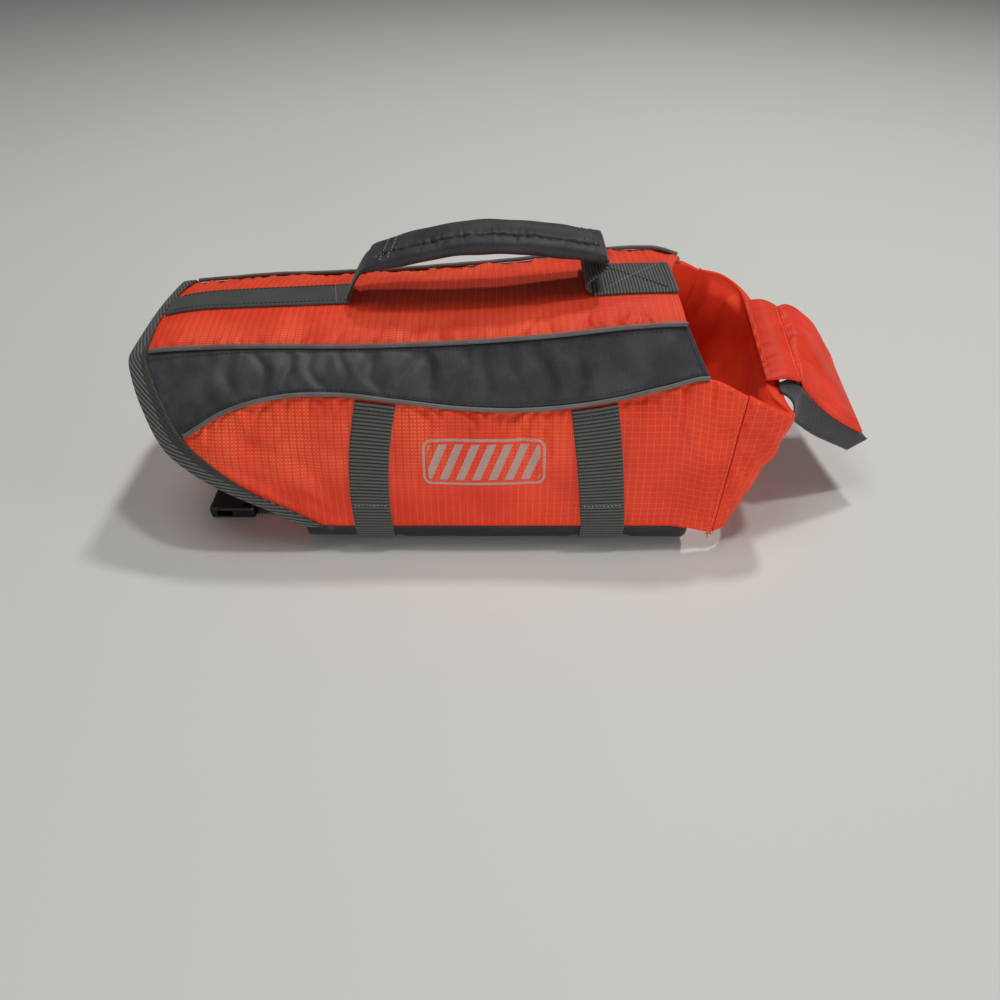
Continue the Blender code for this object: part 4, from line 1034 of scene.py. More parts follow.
def cord_tree():
    """Round cord along a path, closed at both ends."""
    tree, t, enter, leave = geometry_tree("Piping cord", {"Radius": 0.0018, "Sides": 14})
    curve = t.fed("GeometryNodeMeshToCurve", {0: enter["Geometry"]})
    round_form = {"Resolution": enter["Sides"], "Radius": enter["Radius"]}
    ring = t.fed("GeometryNodeCurvePrimitiveCircle", round_form)
    tube = t.fed("GeometryNodeCurveToMesh", {"Curve": curve[0], "Profile Curve": ring[0], "Fill Caps": True})
    finish_tree(t, t.fed("GeometryNodeSetShadeSmooth", {"Geometry": tube[0]})[0], enter, leave)
    return tree


def piping_cloth():
    t = new_material("piping")
    place_on = t.object_place()
    cloth_clouds = t.group(CLOTH_CLOUDS, Place=place_on, Cloud_Size=0.012)
    fine = t.noise(place_on, 1900.0, 2.0, 0.6)
    cloud = t.span(cloth_clouds["Cloud"], 0.3, 0.7)
    colour = t.mix(cloud, (0.085, 0.078, 0.074, 1.0), (0.135, 0.126, 0.120, 1.0))
    colour = t.mix(t.times(fine, 0.5), colour, (0.17, 0.16, 0.15, 1.0))
    surface(t, colour, t.span(fine, 0.3, 0.7, 0.38, 0.55), Sheen_Weight=0.2)
    return bumped(t, (fine, 0.00012, 0.5), (cloth_clouds["Cloud"], 0.0006, 0.35))


CORD_TREE, PIPING_CLOTH = cord_tree(), piping_cloth()


def piping(name, number, side):
    start = rear_x(number, side) + binding_reach(number) + 1.5
    x = np.linspace(start, front_x(number - 0.01, side) - 1.0, PIPE_STEPS)
    sway = 0.12 * np.sin(x / 7.3 + number) + 0.08 * np.sin(x / 3.1 + side)
    path = skin(x, number, side, PIPE_RADIUS - 0.2 + 0.5 * sway)
    piece = grown(name + "_cord", path_mesh(name, path), CORD_TREE,
                  Radius=PIPE_RADIUS * MM, Sides=PIPE_SIDES, Material=PIPING_CLOTH)
    settle(piece, "piping", name)


for word, side in (("near", NEAR), ("far", FAR)):
    piping(f"piping_upper_{word}", UPPER, side)
    piping(f"piping_lower_{word}", LOWER, side)


# ================================================================ rear binding
# Grey twill tape is folded over the raw rear edge of every panel and sewn through, hem to hem.
# Its coarse yarns cross at a slant.
BINDING_TAPE = 1.0
BINDING_ROWS, BINDING_STEPS = 460, 9
TWILL_PITCH, TWILL_BEAD, TWILL_SLANT = 0.00205, 0.00150, 0.40


def twill_tape():
    """Coarse cords that run at a slant along the tape, pale on dark, with painted shade in the gaps between
    them.
    """
    t = new_material("binding_tape")
    apart = t.apart(cloth_place(t))
    along, across = apart[0], apart[1]
    slant = t.math("ADD", across, t.times(along, TWILL_SLANT))
    yarn = stripe_distance(t, slant, TWILL_PITCH)
    bead = stripe_distance(t, t.math("SUBTRACT", along, t.times(across, TWILL_SLANT)), TWILL_BEAD)
    flat_strip = t.span(across, -0.0052, -0.0064)
    height = t.times(t.span(yarn, 0.38, 0.12), t.span(bead, 0.75, 0.25))
    height = t.times(height, t.math("SUBTRACT", 1.0, t.times(flat_strip, 0.85)))
    fleck = t.noise(t.object_place(), 1500.0, 2.0, 0.6)
    # The colour follows the cords' height: the gaps between cords are painted near black as painted shade,
    # and the flat strip by the seam is darker too.
    shade = t.times_add(fleck, 0.18, t.times(height, 0.95), clamp=True)
    colour = t.mix(shade, (0.006, 0.0065, 0.006, 1.0), (0.150, 0.152, 0.138, 1.0))
    surface(t, colour, t.span(fleck, 0.2, 0.8, 0.6, 0.8), Sheen_Weight=0.2)
    return bumped(t, (height, 0.0006, 1.0), (fleck, 0.0001, 0.4))


def binding_profile(girth, side):
    """The tape's inner and outer surface round the edge at one girth position, front edge to front edge."""
    edge, reach, clear = rear_x(girth, side), binding_reach(girth), GAP + 0.1
    x = np.linspace(edge + reach, edge, BINDING_STEPS)
    wall = wall_thickness(x, girth, side)
    rim = float(wall[-1])
    layers = []
    for more in (0.0, BINDING_TAPE):
        lift = 0.35 * np.sin(np.linspace(0.0, math.pi, BINDING_STEPS)) if more else 0.0
        over = skin(x, girth, side, clear + more + lift)
        under = skin(x[::-1], girth, side, -wall[::-1] - clear - more)
        middle, half = (over[-1] + under[0]) / 2.0, (over[-1] - under[0]) / 2.0
        turn = np.linspace(0.0, math.pi, BINDING_STEPS)[1:-1]
        back = np.array([-(clear + 0.45 + more) * MM, 0.0, 0.0])
        nose = middle + half * np.cos(turn)[:, None] + back * np.sin(turn)[:, None]
        layers.append(np.concatenate([over, nose, under]))
    return layers


def run_length(points):
    """Length along a row of points, from its first to each one."""
    return np.concatenate([[0.0], np.cumsum(np.linalg.norm(np.diff(points, axis=0), axis=1))])


def rear_binding():
    girths = np.linspace(HEM - GIRTH_GAP, SPINE, BINDING_ROWS // 2)
    inner, outer = [], []
    for girth, side in [(g, FAR) for g in girths] + [(g, NEAR) for g in girths[-2::-1]]:
        low, high = binding_profile(float(girth), side)
        inner.append(low)
        outer.append(high)
    inner, outer = np.array(inner), np.array(outer)
    edge = outer[:, BINDING_STEPS - 1]
    along = run_length(edge)
    run = np.gradient(edge, axis=0)
    run /= np.linalg.norm(run, axis=1)[:, None]
    away = outer - edge[:, None]
    forward = np.einsum("ijk,ik->ij", away, run)
    wide = np.sqrt(np.maximum((away ** 2).sum(axis=2) - forward ** 2, 0.0))
    wide[:, :BINDING_STEPS] *= -1.0
    uv = np.stack([along[:, None] + forward, wide], axis=-1)
    cloth = twill_tape()
    piece = place("rear_binding_tape", closed_wall("rear_binding_tape", outer, inner, uv), cloth, cloth)
    settle(piece, "binding_tape", "rear_binding")


rear_binding()


# ================================================================ side straps
# Grey nylon webbing is sewn down both sides and runs on beneath the belly to its buckle.
# It is woven with a thick rib across it every two millimetres, and its edges are drawn in tight.
STRAP_START = 2.035
FAR_BUCKLE_GIRTH, WALL_RUN = 2.66, 72.0
BUCKLE_SEAM, PLUG_HANG, SOCKET_LENGTH, PLUG_BODY_LENGTH = 6.0, 4.0, 27.0, 13.0
TUCK_Y = 69.0
TAIL_Y, TAIL_FROM_X, TAIL_TO_X = -56.5, -60.0, -146.5
RIB_PITCH, RIB_STEP = 0.0020, 0.00034


def rib_tree():
    """Raises ribs across a webbing: waves in the attribute along, held back where rib is small."""
    tree, t, enter, leave = geometry_tree("Webbing ribs", {"Rib Pitch": 0.002, "Rib Height": 0.0005})
    along, mask = (t.fed("GeometryNodeInputNamedAttribute", {"Name": label}, data_type="FLOAT")[0]
                   for label in ("along", "rib"))
    turn = t.times(t.math("DIVIDE", along, enter["Rib Pitch"]), math.pi)
    wave = t.math("POWER", t.math("ABSOLUTE", t.math("SINE", turn)), 0.55)
    rise = t.times(t.math("SUBTRACT", wave, 0.75), t.times(enter["Rib Height"], mask))
    normal = t.node("GeometryNodeInputNormal").outputs[0]
    push = t.fed("ShaderNodeVectorMath", {0: normal, "Scale": rise}, operation="SCALE")
    moved = t.fed("GeometryNodeSetPosition", {"Geometry": enter["Geometry"], "Offset": push[0]})
    finish_tree(t, moved[0], enter, leave)
    return tree


def rib_yarn_group():
    """Yarns of a ribbed webbing: how much of a rib shows, and the small beads its warp makes on it."""
    tree, t, enter, leave = new_group(
        "Rib yarn",
        {"Rib Pitch": 0.002, "Yarn Pitch": 0.00095}, ["Rib", "Bead"])
    apart = t.apart(enter["Place"])
    rib = t.math("SUBTRACT", 0.5, stripe_distance(t, apart[1], enter["Rib Pitch"]))
    t.link(t.span(rib, 0.04, 0.34), leave["Rib"])
    bead = stripe_distance(t, apart[0], enter["Yarn Pitch"])
    t.link(t.span(bead, 0.5, 0.15), leave["Bead"])
    return tree


RIB_TREE, RIB_YARN = rib_tree(), rib_yarn_group()


# Near black in the grooves between the ribs is painted shade; the crests' light grey is the yarn's own grey
# with a painted highlight on it.
RIB_GROOVE_PAINTED_SHADE, RIB_CREST_GREY_AND_HIGHLIGHT = (0.005, 0.0055, 0.005, 1.0), (0.140, 0.141, 0.130, 1.0)


def webbing_cloth(name, pitch):
    t = new_material(name)
    yarn = t.group(RIB_YARN, Place=cloth_place(t), Rib_Pitch=pitch)
    fleck = t.noise(t.object_place(), 1700.0, 2.0, 0.6)
    # The rib mask paints the grooves dark and the crests light: painted shade and painted highlight over the
    # raised ribs.
    shade = t.times(yarn["Rib"], t.times_add(yarn["Bead"], 0.3, 0.7))
    shade = t.times(shade, t.times_add(fleck, 0.7, 0.55), clamp=True)
    rough = t.span(fleck, 0.2, 0.8, 0.5, 0.72)
    surface(t, t.mix(shade, RIB_GROOVE_PAINTED_SHADE, RIB_CREST_GREY_AND_HIGHLIGHT), rough, Sheen_Weight=0.15, Specular_IOR_Level=0.35)
    return bumped(t, (yarn["Bead"], 0.00018, 0.6), (fleck, 0.00008, 0.4))


STRAP_CLOTH = webbing_cloth("ribbed_webbing", RIB_PITCH)
STRAP_SHARES = np.array([0.15, 0.45, 0.7, 0.88, 0.95, 0.985, 1.0])      # of a webbing's half width
STRAP_ACROSS = np.concatenate([-STRAP_SHARES[::-1], STRAP_SHARES])


def strap_uv(grid):
    """Cloth map of a strap grid: across it, then along its middle."""
    return np.stack(np.meshgrid(run_length(grid[0]), run_length(grid[:, grid.shape[1] // 2])), axis=-1)


def even_steps(grids, spacing):
    """Resamples the rows of several matching grids so that they lie evenly along the first."""
    along = run_length(grids[0][:, grids[0].shape[1] // 2])
    even = np.linspace(0.0, along[-1], int(along[-1] / spacing) + 1)
    done = []
    for grid in grids:
        flat = grid.reshape(len(grid), -1)
        columns = [np.interp(even, along, flat[:, k]) for k in range(flat.shape[1])]
        done.append(np.stack(columns, axis=1).reshape(len(even), *grid.shape[1:]))
    return done


def ribbed_strap(name, node, under, over, pitch, cloth, height=0.0005):
    """Webbing between its underside and its upper side, with ribs on the upper side."""
    over, under = even_steps([over, under], RIB_STEP)
    uv = strap_uv(over)
    mesh = closed_wall(name, over, under, uv)
    count = over.shape[0] * over.shape[1]
    along = np.concatenate([uv[..., 1].reshape(-1)] * 2).astype(np.float32)
    ends = np.minimum(uv[..., 1], uv[-1, 0, 1] - uv[..., 1]) / 0.001
    edge = np.minimum(uv[..., 0], uv[0, -1, 0] - uv[..., 0]) / 0.0007
    mask = np.clip(np.minimum(ends, edge + 0.35), 0.0, 1.0).reshape(-1)
    rib = np.concatenate([mask, np.zeros(count)]).astype(np.float32)
    for label, values in (("along", along), ("rib", rib)):
        layer = mesh.attributes.new(label, "FLOAT", "POINT")
        layer.data.foreach_set("value", values)
    piece = grown(name, mesh, RIB_TREE, Rib_Pitch=pitch, Rib_Height=height, Material=cloth)
    return settle(piece, "ribbed_webbing", node)


def selvedge(across):
    """Webbing is a little thinner at its drawn-in edges."""
    return -0.45 * ease((np.abs(across) - 0.93) / 0.07)


def strap_on_skin(run, places):
    """Under and upper side of a strap that lies on the skin; places are (girth, side)."""
    under, over = [], []
    for girth, side in places:
        x = strap_x(run, girth) + run.half * STRAP_ACROSS
        under.append(skin(x, girth, side, GAP))
        over.append(skin(x, girth, side, GAP + WEB + selvedge(STRAP_ACROSS)))
    return np.array(under), np.array(over)


def side_straps():
    tuck = HEM + KEEL_TURN + 0.6 * (1.0 - TUCK_Y / (HEM_Y - KEEL_CURVE))
    route = girth_run(STRAP_START, HEM, 90, NEAR) + girth_run(HEM + 0.01, tuck, 50, NEAR)
    piece = ribbed_strap("strap_rear_near", "side_strap_rear_near", *strap_on_skin(REAR_STRAP, route),
                         RIB_PITCH, STRAP_CLOTH)
    lower_end = FAR_BUCKLE_GIRTH + (BUCKLE_SEAM + PLUG_BODY_LENGTH + 2.0 * GAP) / WALL_RUN
    route = girth_run(STRAP_START, HEM, 90, NEAR) + girth_run(HEM + 0.01, KEEL, 80, NEAR)
    route += girth_run(KEEL - 0.01, HEM, 80, FAR) + girth_run(HEM - 0.01, lower_end, 20, FAR)
    piece = ribbed_strap("strap_front_near", "side_strap_front_near", *strap_on_skin(FRONT_STRAP, route),
                         RIB_PITCH, STRAP_CLOTH)
    front_end = FAR_BUCKLE_GIRTH - (SOCKET_LENGTH - BUCKLE_SEAM + GAP) / WALL_RUN
    rear_end = FAR_BUCKLE_GIRTH - (PLUG_BODY_LENGTH - PLUG_HANG + GAP) / WALL_RUN
    for word, run, end in (("front", FRONT_STRAP, front_end), ("rear", REAR_STRAP, rear_end)):
        route = girth_run(STRAP_START, end, 50, FAR)
        piece = ribbed_strap(f"strap_{word}_far", f"side_strap_{word}_far", *strap_on_skin(run, route),
                             RIB_PITCH, STRAP_CLOTH)


side_straps()


def strap_tail():
    """The loose end of the rear belly strap lies flat behind the belly."""
    under, over = [], []
    y = TAIL_Y - REAR_STRAP.half * STRAP_ACROSS
    for x in np.linspace(TAIL_FROM_X, TAIL_TO_X, 60):
        for face, height in ((under, 0.0 * STRAP_ACROSS), (over, WEB + selvedge(STRAP_ACROSS))):
            face.append(np.column_stack([x + 0.0 * y, y, height]) * MM)
    piece = ribbed_strap("strap_tail", "belly_strap_tail", np.array(under), np.array(over), RIB_PITCH,
                         STRAP_CLOTH)


strap_tail()


# ================================================================ spine webbing
# Behind the handle a smooth tape runs down the back; ahead of it a wide ribbed strap is sewn flat.
# Both are the ends of the carrying handle and take the dog's whole weight.
TAPE_HALF, FRONT_WEB_HALF = 12.5, 19.0
SPINE_TAPE_FROM, SPINE_TAPE_TO = -191.5, -85.5
SPINE_WEB_FROM, SPINE_WEB_TO = 51.5, 98.0
FRONT_RIB = 0.0018


def over_back(x, across, half, out):
    """Points over the back at a share of a webbing's half width, below zero on the near side."""
    return skin(x, abs(across) * half / SPINE_SPAN, NEAR if across < 0 else FAR, out)


def spine_grid(start, end, half, count, out):
    """Grid of points along the middle of the back at a height over the skin."""
    return np.array([[over_back(x, across, half, out(x, across))[0] for across in STRAP_ACROSS]
                     for x in np.linspace(start, end, count)])


def smooth_tape():
    """Flat woven tape with fine diagonal yarns."""
    t = new_material("smooth_tape")
    place_on = cloth_place(t)
    apart = t.apart(place_on)
    slant = t.math("ADD", apart[0], t.times(apart[1], 0.6))
    yarn = t.span(stripe_distance(t, slant, 0.0009), 0.5, 0.1)
    fleck = t.noise(t.object_place(), 1500.0, 2.0, 0.6)
    cloth_clouds = t.group(CLOTH_CLOUDS, Place=t.object_place(), Cloud_Size=0.018)
    shade = t.times_add(yarn, 0.5, t.times(fleck, 0.5), clamp=True)
    colour = t.mix(shade, (0.020, 0.020, 0.019, 1.0), (0.058, 0.058, 0.055, 1.0))
    colour = t.mix(t.span(cloth_clouds["Cloud"], 0.4, 0.7, 0.0, 0.3), colour, (0.064, 0.064, 0.061, 1.0))
    surface(t, colour, t.span(fleck, 0.2, 0.8, 0.55, 0.72), Sheen_Weight=0.2)
    return bumped(t, (yarn, 0.00014, 0.5), (fleck, 0.00008, 0.4))


def spine_webbing():
    def tape_height(x, across):
        return GAP + WEB + float(selvedge(across)) + 0.18 * math.sin(x / 9.0) * (1.0 - abs(across))

    under = spine_grid(SPINE_TAPE_FROM, SPINE_TAPE_TO, TAPE_HALF, 120, lambda x, a: GAP)
    over = spine_grid(SPINE_TAPE_FROM, SPINE_TAPE_TO, TAPE_HALF, 120, tape_height)
    cloth = smooth_tape()
    piece = place("spine_tape", closed_wall("spine_tape", over, under, strap_uv(over)), cloth, cloth)
    settle(piece, "smooth_tape", "spine_tape_rear")

    def web_height(x, across):
        end = ease((x - SPINE_WEB_TO + 7.0) / 3.0) * 0.55
        return GAP + WEB + end + float(selvedge(across))

    under = spine_grid(SPINE_WEB_FROM, SPINE_WEB_TO, FRONT_WEB_HALF, 60, lambda x, a: GAP)
    over = spine_grid(SPINE_WEB_FROM, SPINE_WEB_TO, FRONT_WEB_HALF, 60, web_height)
    web = webbing_cloth("ribbed_webbing_wide", FRONT_RIB)
    piece = ribbed_strap("spine_strap", "spine_strap_front", under, over, FRONT_RIB, web, 0.00055)


spine_webbing()


# ================================================================ carrying handle
# A padded sleeve of slate cloth arches over the back between two webbing risers.
# Its long edge is folded under and sewn down, which draws a gathered groove along it.
Grip = namedtuple("Grip", "x top_z half_y thick")
GRIP = [
    Grip(-73.0, 134.6, 16.4, 5.6), Grip(-68.0, 137.0, 17.4, 7.4), Grip(-52.0, 141.8, 18.2, 8.8),
    Grip(-27.0, 147.4, 18.6, 9.6), Grip(-8.0, 149.2, 18.6, 9.8), Grip(12.0, 148.8, 18.6, 9.8),
    Grip(34.0, 146.4, 18.4, 9.4), Grip(50.0, 144.0, 18.2, 8.8), Grip(56.5, 142.8, 18.0, 8.0),
]
GRIP_STITCH_Y, GRIP_GROOVE, GRIP_GROOVE_HALF = -8.6, 4.0, 1.5
GRIP_RINGS, GRIP_SIDES = 300, 128
GRIP_SQUARE = 0.55          # power that squares off the sleeve's rounded section
grip_rng = np.random.default_rng(5)
GRIP_GATHERS = gathers(grip_rng, -66.0, 54.0, 3.0, 0.8, 4.6)


def table_rows(rows, position):
    """Blends whole rows of a table at fractional row numbers."""
    return smooth_rows(np.arange(len(rows)), np.array(rows, float), position)


def grip_surface(position, turn):
    """Points of the sleeve's plain rounded form for ring positions and turns round it."""
    rows = table_rows(GRIP, position)
    x, top, half, thick = (rows[:, k][:, None] for k in range(4))
    c, s = np.cos(turn), np.sin(turn)
    y = np.sign(c) * np.abs(c) ** GRIP_SQUARE * half
    z = top - thick / 2.0 + np.sign(s) * np.abs(s) ** 0.8 * thick / 2.0
    return np.stack([x + 0.0 * y, y, z], axis=-1)


def grip_relief(points, turn):
    """Groove and gathers along the stitched line on the upper face, and soft creases at both ends."""
    x, y = points[..., 0], points[..., 1]
    top = ease(np.sin(turn) / 0.3) + 0.0 * x
    away = np.abs(y - GRIP_STITCH_Y)
    groove = GRIP_GROOVE * np.exp(-(away / GRIP_GROOVE_HALF) ** 2)
    lobe = 0.9 * np.clip(np.sin((GRIP_STITCH_Y - y) / 10.0 * math.pi), 0.0, 1.0)
    relief = (lobe - groove) * ease((x + 70.0) / 6.0) * ease((54.0 - x) / 4.0)
    pulls = np.zeros_like(x)
    for place_x, lean, depth, half, reach in GRIP_GATHERS:
        aside = (x - place_x - lean * (y - GRIP_STITCH_Y)) / (half * 0.55)
        pulls += depth * np.exp(-aside * aside) * np.exp(-((away - 1.8) / reach) ** 2) * ease(away / 1.6)
    broad = 0.28 * np.sin(x / 6.1 + y / 5.0) + 0.2 * np.sin(x / 3.4 - y / 4.2 + 1.1)
    return (relief - pulls) * top + broad * 0.6


def grip_sleeve():
    position = np.linspace(0.0, len(GRIP) - 1.0, GRIP_RINGS)
    turn = np.linspace(0.0, 2.0 * math.pi, GRIP_SIDES, endpoint=False)[None, :]
    base = grip_surface(position, turn)
    ahead = np.roll(base, -1, axis=1) - np.roll(base, 1, axis=1)
    length = np.gradient(base, axis=0)
    normal = np.cross(ahead, length)
    normal /= np.linalg.norm(normal, axis=-1)[..., None] + 1e-9
    if (normal[GRIP_RINGS // 2, GRIP_SIDES // 4, 2]) < 0:
        normal = -normal
    fade = ease(np.minimum(position, position[-1] - position) / 0.35)[:, None]
    points = (base + normal * (grip_relief(base, turn) * fade)[..., None]) * MM
    rows, columns = GRIP_RINGS, GRIP_SIDES
    index = np.arange(rows * columns).reshape(rows, columns)
    right = np.roll(index, -1, axis=1)
    quads = np.stack([index[:-1], right[:-1], right[1:], index[1:]], axis=-1).reshape(-1, 4)
    flat = points.reshape(-1, 3)
    ends = [points[0].mean(axis=0), points[-1].mean(axis=0)]
    flat = np.concatenate([flat, ends])
    first, last = rows * columns, rows * columns + 1
    caps = [(right[0, k], index[0, k], first) for k in range(columns)]
    caps += [(index[-1, k], right[-1, k], last) for k in range(columns)]
    mesh = bpy.data.meshes.new("grip_sleeve")
    mesh.from_pydata(flat.tolist(), [], quads.tolist() + [tuple(int(v) for v in cap) for cap in caps])
    round_it = np.cumsum(np.linalg.norm(np.roll(points[rows // 2], -1, axis=0) - points[rows // 2], axis=1))
    uv = np.zeros((len(flat), 2))
    uv[:rows * columns, 0] = flat[:rows * columns, 0]
    uv[:rows * columns, 1] = np.tile(round_it, rows)
    uv[first], uv[last] = uv[0], uv[rows * columns - 1]
    layer = mesh.uv_layers.new(name="cloth")
    loops = np.zeros(len(mesh.loops), np.int32)
    mesh.loops.foreach_get("vertex_index", loops)
    layer.data.foreach_set("uv", uv[loops].astype(np.float32).reshape(-1))
    mesh.polygons.foreach_set("use_smooth", np.ones(len(mesh.polygons), bool))
    volume = sum(p.center.dot(p.normal) * p.area for p in mesh.polygons)
    if volume < 0.0:
        mesh.flip_normals()
    piece = place("grip_sleeve", mesh, slate_cloth("grip_cloth", 0.0005, 0.66))
    settle(piece, "grip_cloth", "handle_grip")


grip_sleeve()

RISER_REAR = [(-85.0, 113.0), (-83.2, 117.4), (-80.4, 122.4), (-77.2, 127.0), (-73.6, 130.6)]
RISER_FRONT = [
    (50.9, 121.2), (48.6, 122.6), (48.9, 125.4), (52.2, 128.4),
    (56.4, 131.6), (58.6, 135.2), (58.3, 138.8),
]


def riser_grids(route, half_start, half_end, wave=0.0):
    """Both faces of a riser along a smooth route of x and z."""
    position = np.linspace(0.0, len(route) - 1.0, 90)
    line = table_rows(route, position)
    tangent = np.gradient(line, axis=0)
    tangent /= np.linalg.norm(tangent, axis=1)[:, None]
    normal = np.column_stack([-tangent[:, 1], tangent[:, 0]])
    half = half_start + (half_end - half_start) * position / position[-1]
    faces = []
    for out in (0.0, WEB):
        rows = []
        for k in range(len(position)):
            lift = out + (selvedge(STRAP_ACROSS) if out else 0.0 * STRAP_ACROSS)
            swell = math.sin(math.pi * position[k] / position[-1])
            lift = lift + wave * np.sin(STRAP_ACROSS * 4.0 + position[k]) * swell
            x, z = (line[k, axis] + normal[k, axis] * lift for axis in (0, 1))
            rows.append(np.column_stack([x, half[k] * -STRAP_ACROSS, z]))
        faces.append(np.array(rows) * MM)
    return faces


def risers():
    under, over = riser_grids(RISER_REAR, TAPE_HALF, 14.0, 0.25)
    cloth = slate_cloth("riser_cloth", 0.0005, 0.6)
    piece = place("riser_rear", closed_wall("riser_rear", over, under, strap_uv(over)), cloth, cloth)
    settle(piece, "grip_cloth", "handle_riser_rear")
    under, over = riser_grids(RISER_FRONT, FRONT_WEB_HALF, 17.5)
    web = webbing_cloth("ribbed_webbing_riser", FRONT_RIB)
    piece = ribbed_strap("riser_front", "handle_riser_front", under, over, FRONT_RIB, web, 0.0004)


risers()


# ================================================================ chest band
# A padded band of the orange ripstop joins the two sides round the front of the chest.
# It is sewn to the sides at their front edges, and its lining shows inside the neck.
Chest = namedtuple("Chest", "rim_x rim_y rim_z foot_x foot_y foot_z swell rim_wall")
CHEST = [
    Chest(131.9, -70.4, 86.9, 120.9, -94.6, 10.9, 0.0, 2.6),
    Chest(146.0, -73.0, 80.5, 129.5, -88.5, 11.5, 3.2, 2.8),
    Chest(158.6, -70.0, 75.0, 136.0, -73.0, 14.5, 3.6, 3.6),
    Chest(160.0, -46.5, 71.9, 138.0, -42.0, 16.0, 4.5, 10.0),
    Chest(165.0, 0.0, 72.8, 138.0, 0.0, 16.0, 10.0, 11.0),
    Chest(168.0, 46.0, 77.0, 138.0, 42.0, 16.0, 10.0, 10.0),
    Chest(162.5, 66.5, 82.5, 136.0, 72.0, 14.5, 8.0, 4.5),
    Chest(148.0, 71.0, 91.5, 129.5, 88.5, 11.5, 4.5, 3.0),
    Chest(131.9, 70.4, 95.9, 120.9, 94.6, 10.9, 0.0, 2.6),
]
CHEST_WALL = 6.0
CHEST_SLACK = 9.0           # how far the loose lining stands off inside each corner
CHEST_CLOTH_START = 130.0   # its cloth map follows on from that of the sides
CHEST_POSITIONS, CHEST_DOWN = 284, 86
CHEST_WAVES = [(41.0, 0.5, 0.2, 0.45), (24.0, -0.8, 1.9, 0.3)]
LINING_WAVES = [(33.0, 0.9, 1.2, 0.5), (21.0, -0.4, 0.1, 0.3)]
chest_rng = np.random.default_rng(71)
CHEST_GATHERS = [gathers(chest_rng, 2.0, 76.0, 6.5, 1.3, 12.0) for _ in range(2)]
# Folds of the chest: distance along it and down it where each starts and ends, depth and half width
CHEST_FOLDS = [
    Fold(6, 12, 26, 40, 1.6, 4.0), Fold(4, 30, 20, 58, 1.2, 3.5), Fold(20, 6, 34, 30, 1.2, 4.0),
    Fold(234, 12, 212, 40, 1.6, 4.0), Fold(236, 34, 222, 58, 1.2, 3.5), Fold(60, 50, 84, 66, 1.0, 4.0),
    Fold(150, 52, 176, 64, 1.0, 4.0),
]


def pull_relief(relief, along, away, rows, lean_share, rise):
    """Takes gathers that start at a sewn edge out of a relief, at a distance from that edge."""
    for spot, lean, depth, half, reach in rows:
        aside = (along - spot - lean * lean_share * away) / half
        relief = relief - depth * ease(away / rise) * np.exp(-(away / reach) ** 2) * np.exp(-aside * aside)
    return relief


def chest_band():
    position = np.linspace(0.0, len(CHEST) - 1.0, CHEST_POSITIONS)
    last = len(CHEST) - 1.0
    rows = table_rows(CHEST, position)
    ahead = table_rows(CHEST, np.minimum(position + 0.05, last))
    behind = table_rows(CHEST, np.maximum(position - 0.05, 0))
    rim, foot, swell, rim_wall = rows[:, 0:3], rows[:, 3:6], rows[:, 6], rows[:, 7]
    along = (ahead[:, 0:3] + ahead[:, 3:6]) - (behind[:, 0:3] + behind[:, 3:6])
    along[:, 2] = 0.0
    end = ease(np.minimum(position, last - position) / 0.7)
    out = np.cross(along, rim - foot)
    out /= np.linalg.norm(out, axis=1)[:, None]
    out[:, 0] *= end
    out /= np.linalg.norm(out, axis=1)[:, None]
    run = run_length((rim + foot) / 2.0)
    drop = np.linalg.norm(foot - rim, axis=1)
    outer, inner, uv = [], [], []
    for down in np.linspace(0.0, 1.0, CHEST_DOWN):
        shape = math.sin(math.pi * down ** 0.62) if 0.0 < down < 1.0 else 0.0
        v = down * drop
        fade = ease(np.minimum(run, run[-1] - run) / 1.5)
        relief = fold_relief(run, v, CHEST_FOLDS)
        for far_end, rows_of in enumerate(CHEST_GATHERS):
            relief = pull_relief(relief, v, run[-1] - run if far_end else run, rows_of, 1.0, 1.8)
        relief = relief + slack(run, v, CHEST_WAVES)
        edges = ease(v / 2.5) * ease((drop - v) / 2.5)
        roll = edge_roll(v, 1.2) + edge_roll(drop - v, 1.2)
        lift = swell * shape + relief * fade * edges + roll * fade
        face = rim + (foot - rim) * down + out * lift[:, None]
        edge = rim_wall + (EDGE_WALL - rim_wall) * ease(down / 0.5)
        fold = ease(down / 0.15) * (1.0 - ease((down - 0.15) / 0.5))
        loose = CHEST_SLACK * ease((position - 0.15) / 0.9) * (1.0 - 0.7 * ease((position - 2.0) / 1.0))
        loose = loose * (1.0 - ease((position - 5.0) / 1.2))
        far_corner = ease((last - 0.15 - position) / 0.8) * (1.0 - ease((last - 2.2 - position) / 0.8))
        loose = loose + CHEST_SLACK * far_corner
        wall = edge + (CHEST_WALL - EDGE_WALL) * shape * end + loose * fold
        plain = rim + (foot - rim) * down + out * (swell * shape)[:, None]
        inside = slack(run, v, LINING_WAVES) * fade * edges
        outer.append(face * MM)
        inner.append((plain - out * (wall + inside)[:, None]) * MM)
        uv.append(np.column_stack([run + CHEST_CLOTH_START, drop - v]) * MM)
    padded_piece("chest_band", "chest_panel", "orange_ripstop", outer, inner, uv, 0.6, RIPSTOP_CLOTH,
                 LINING_CLOTH)


chest_band()


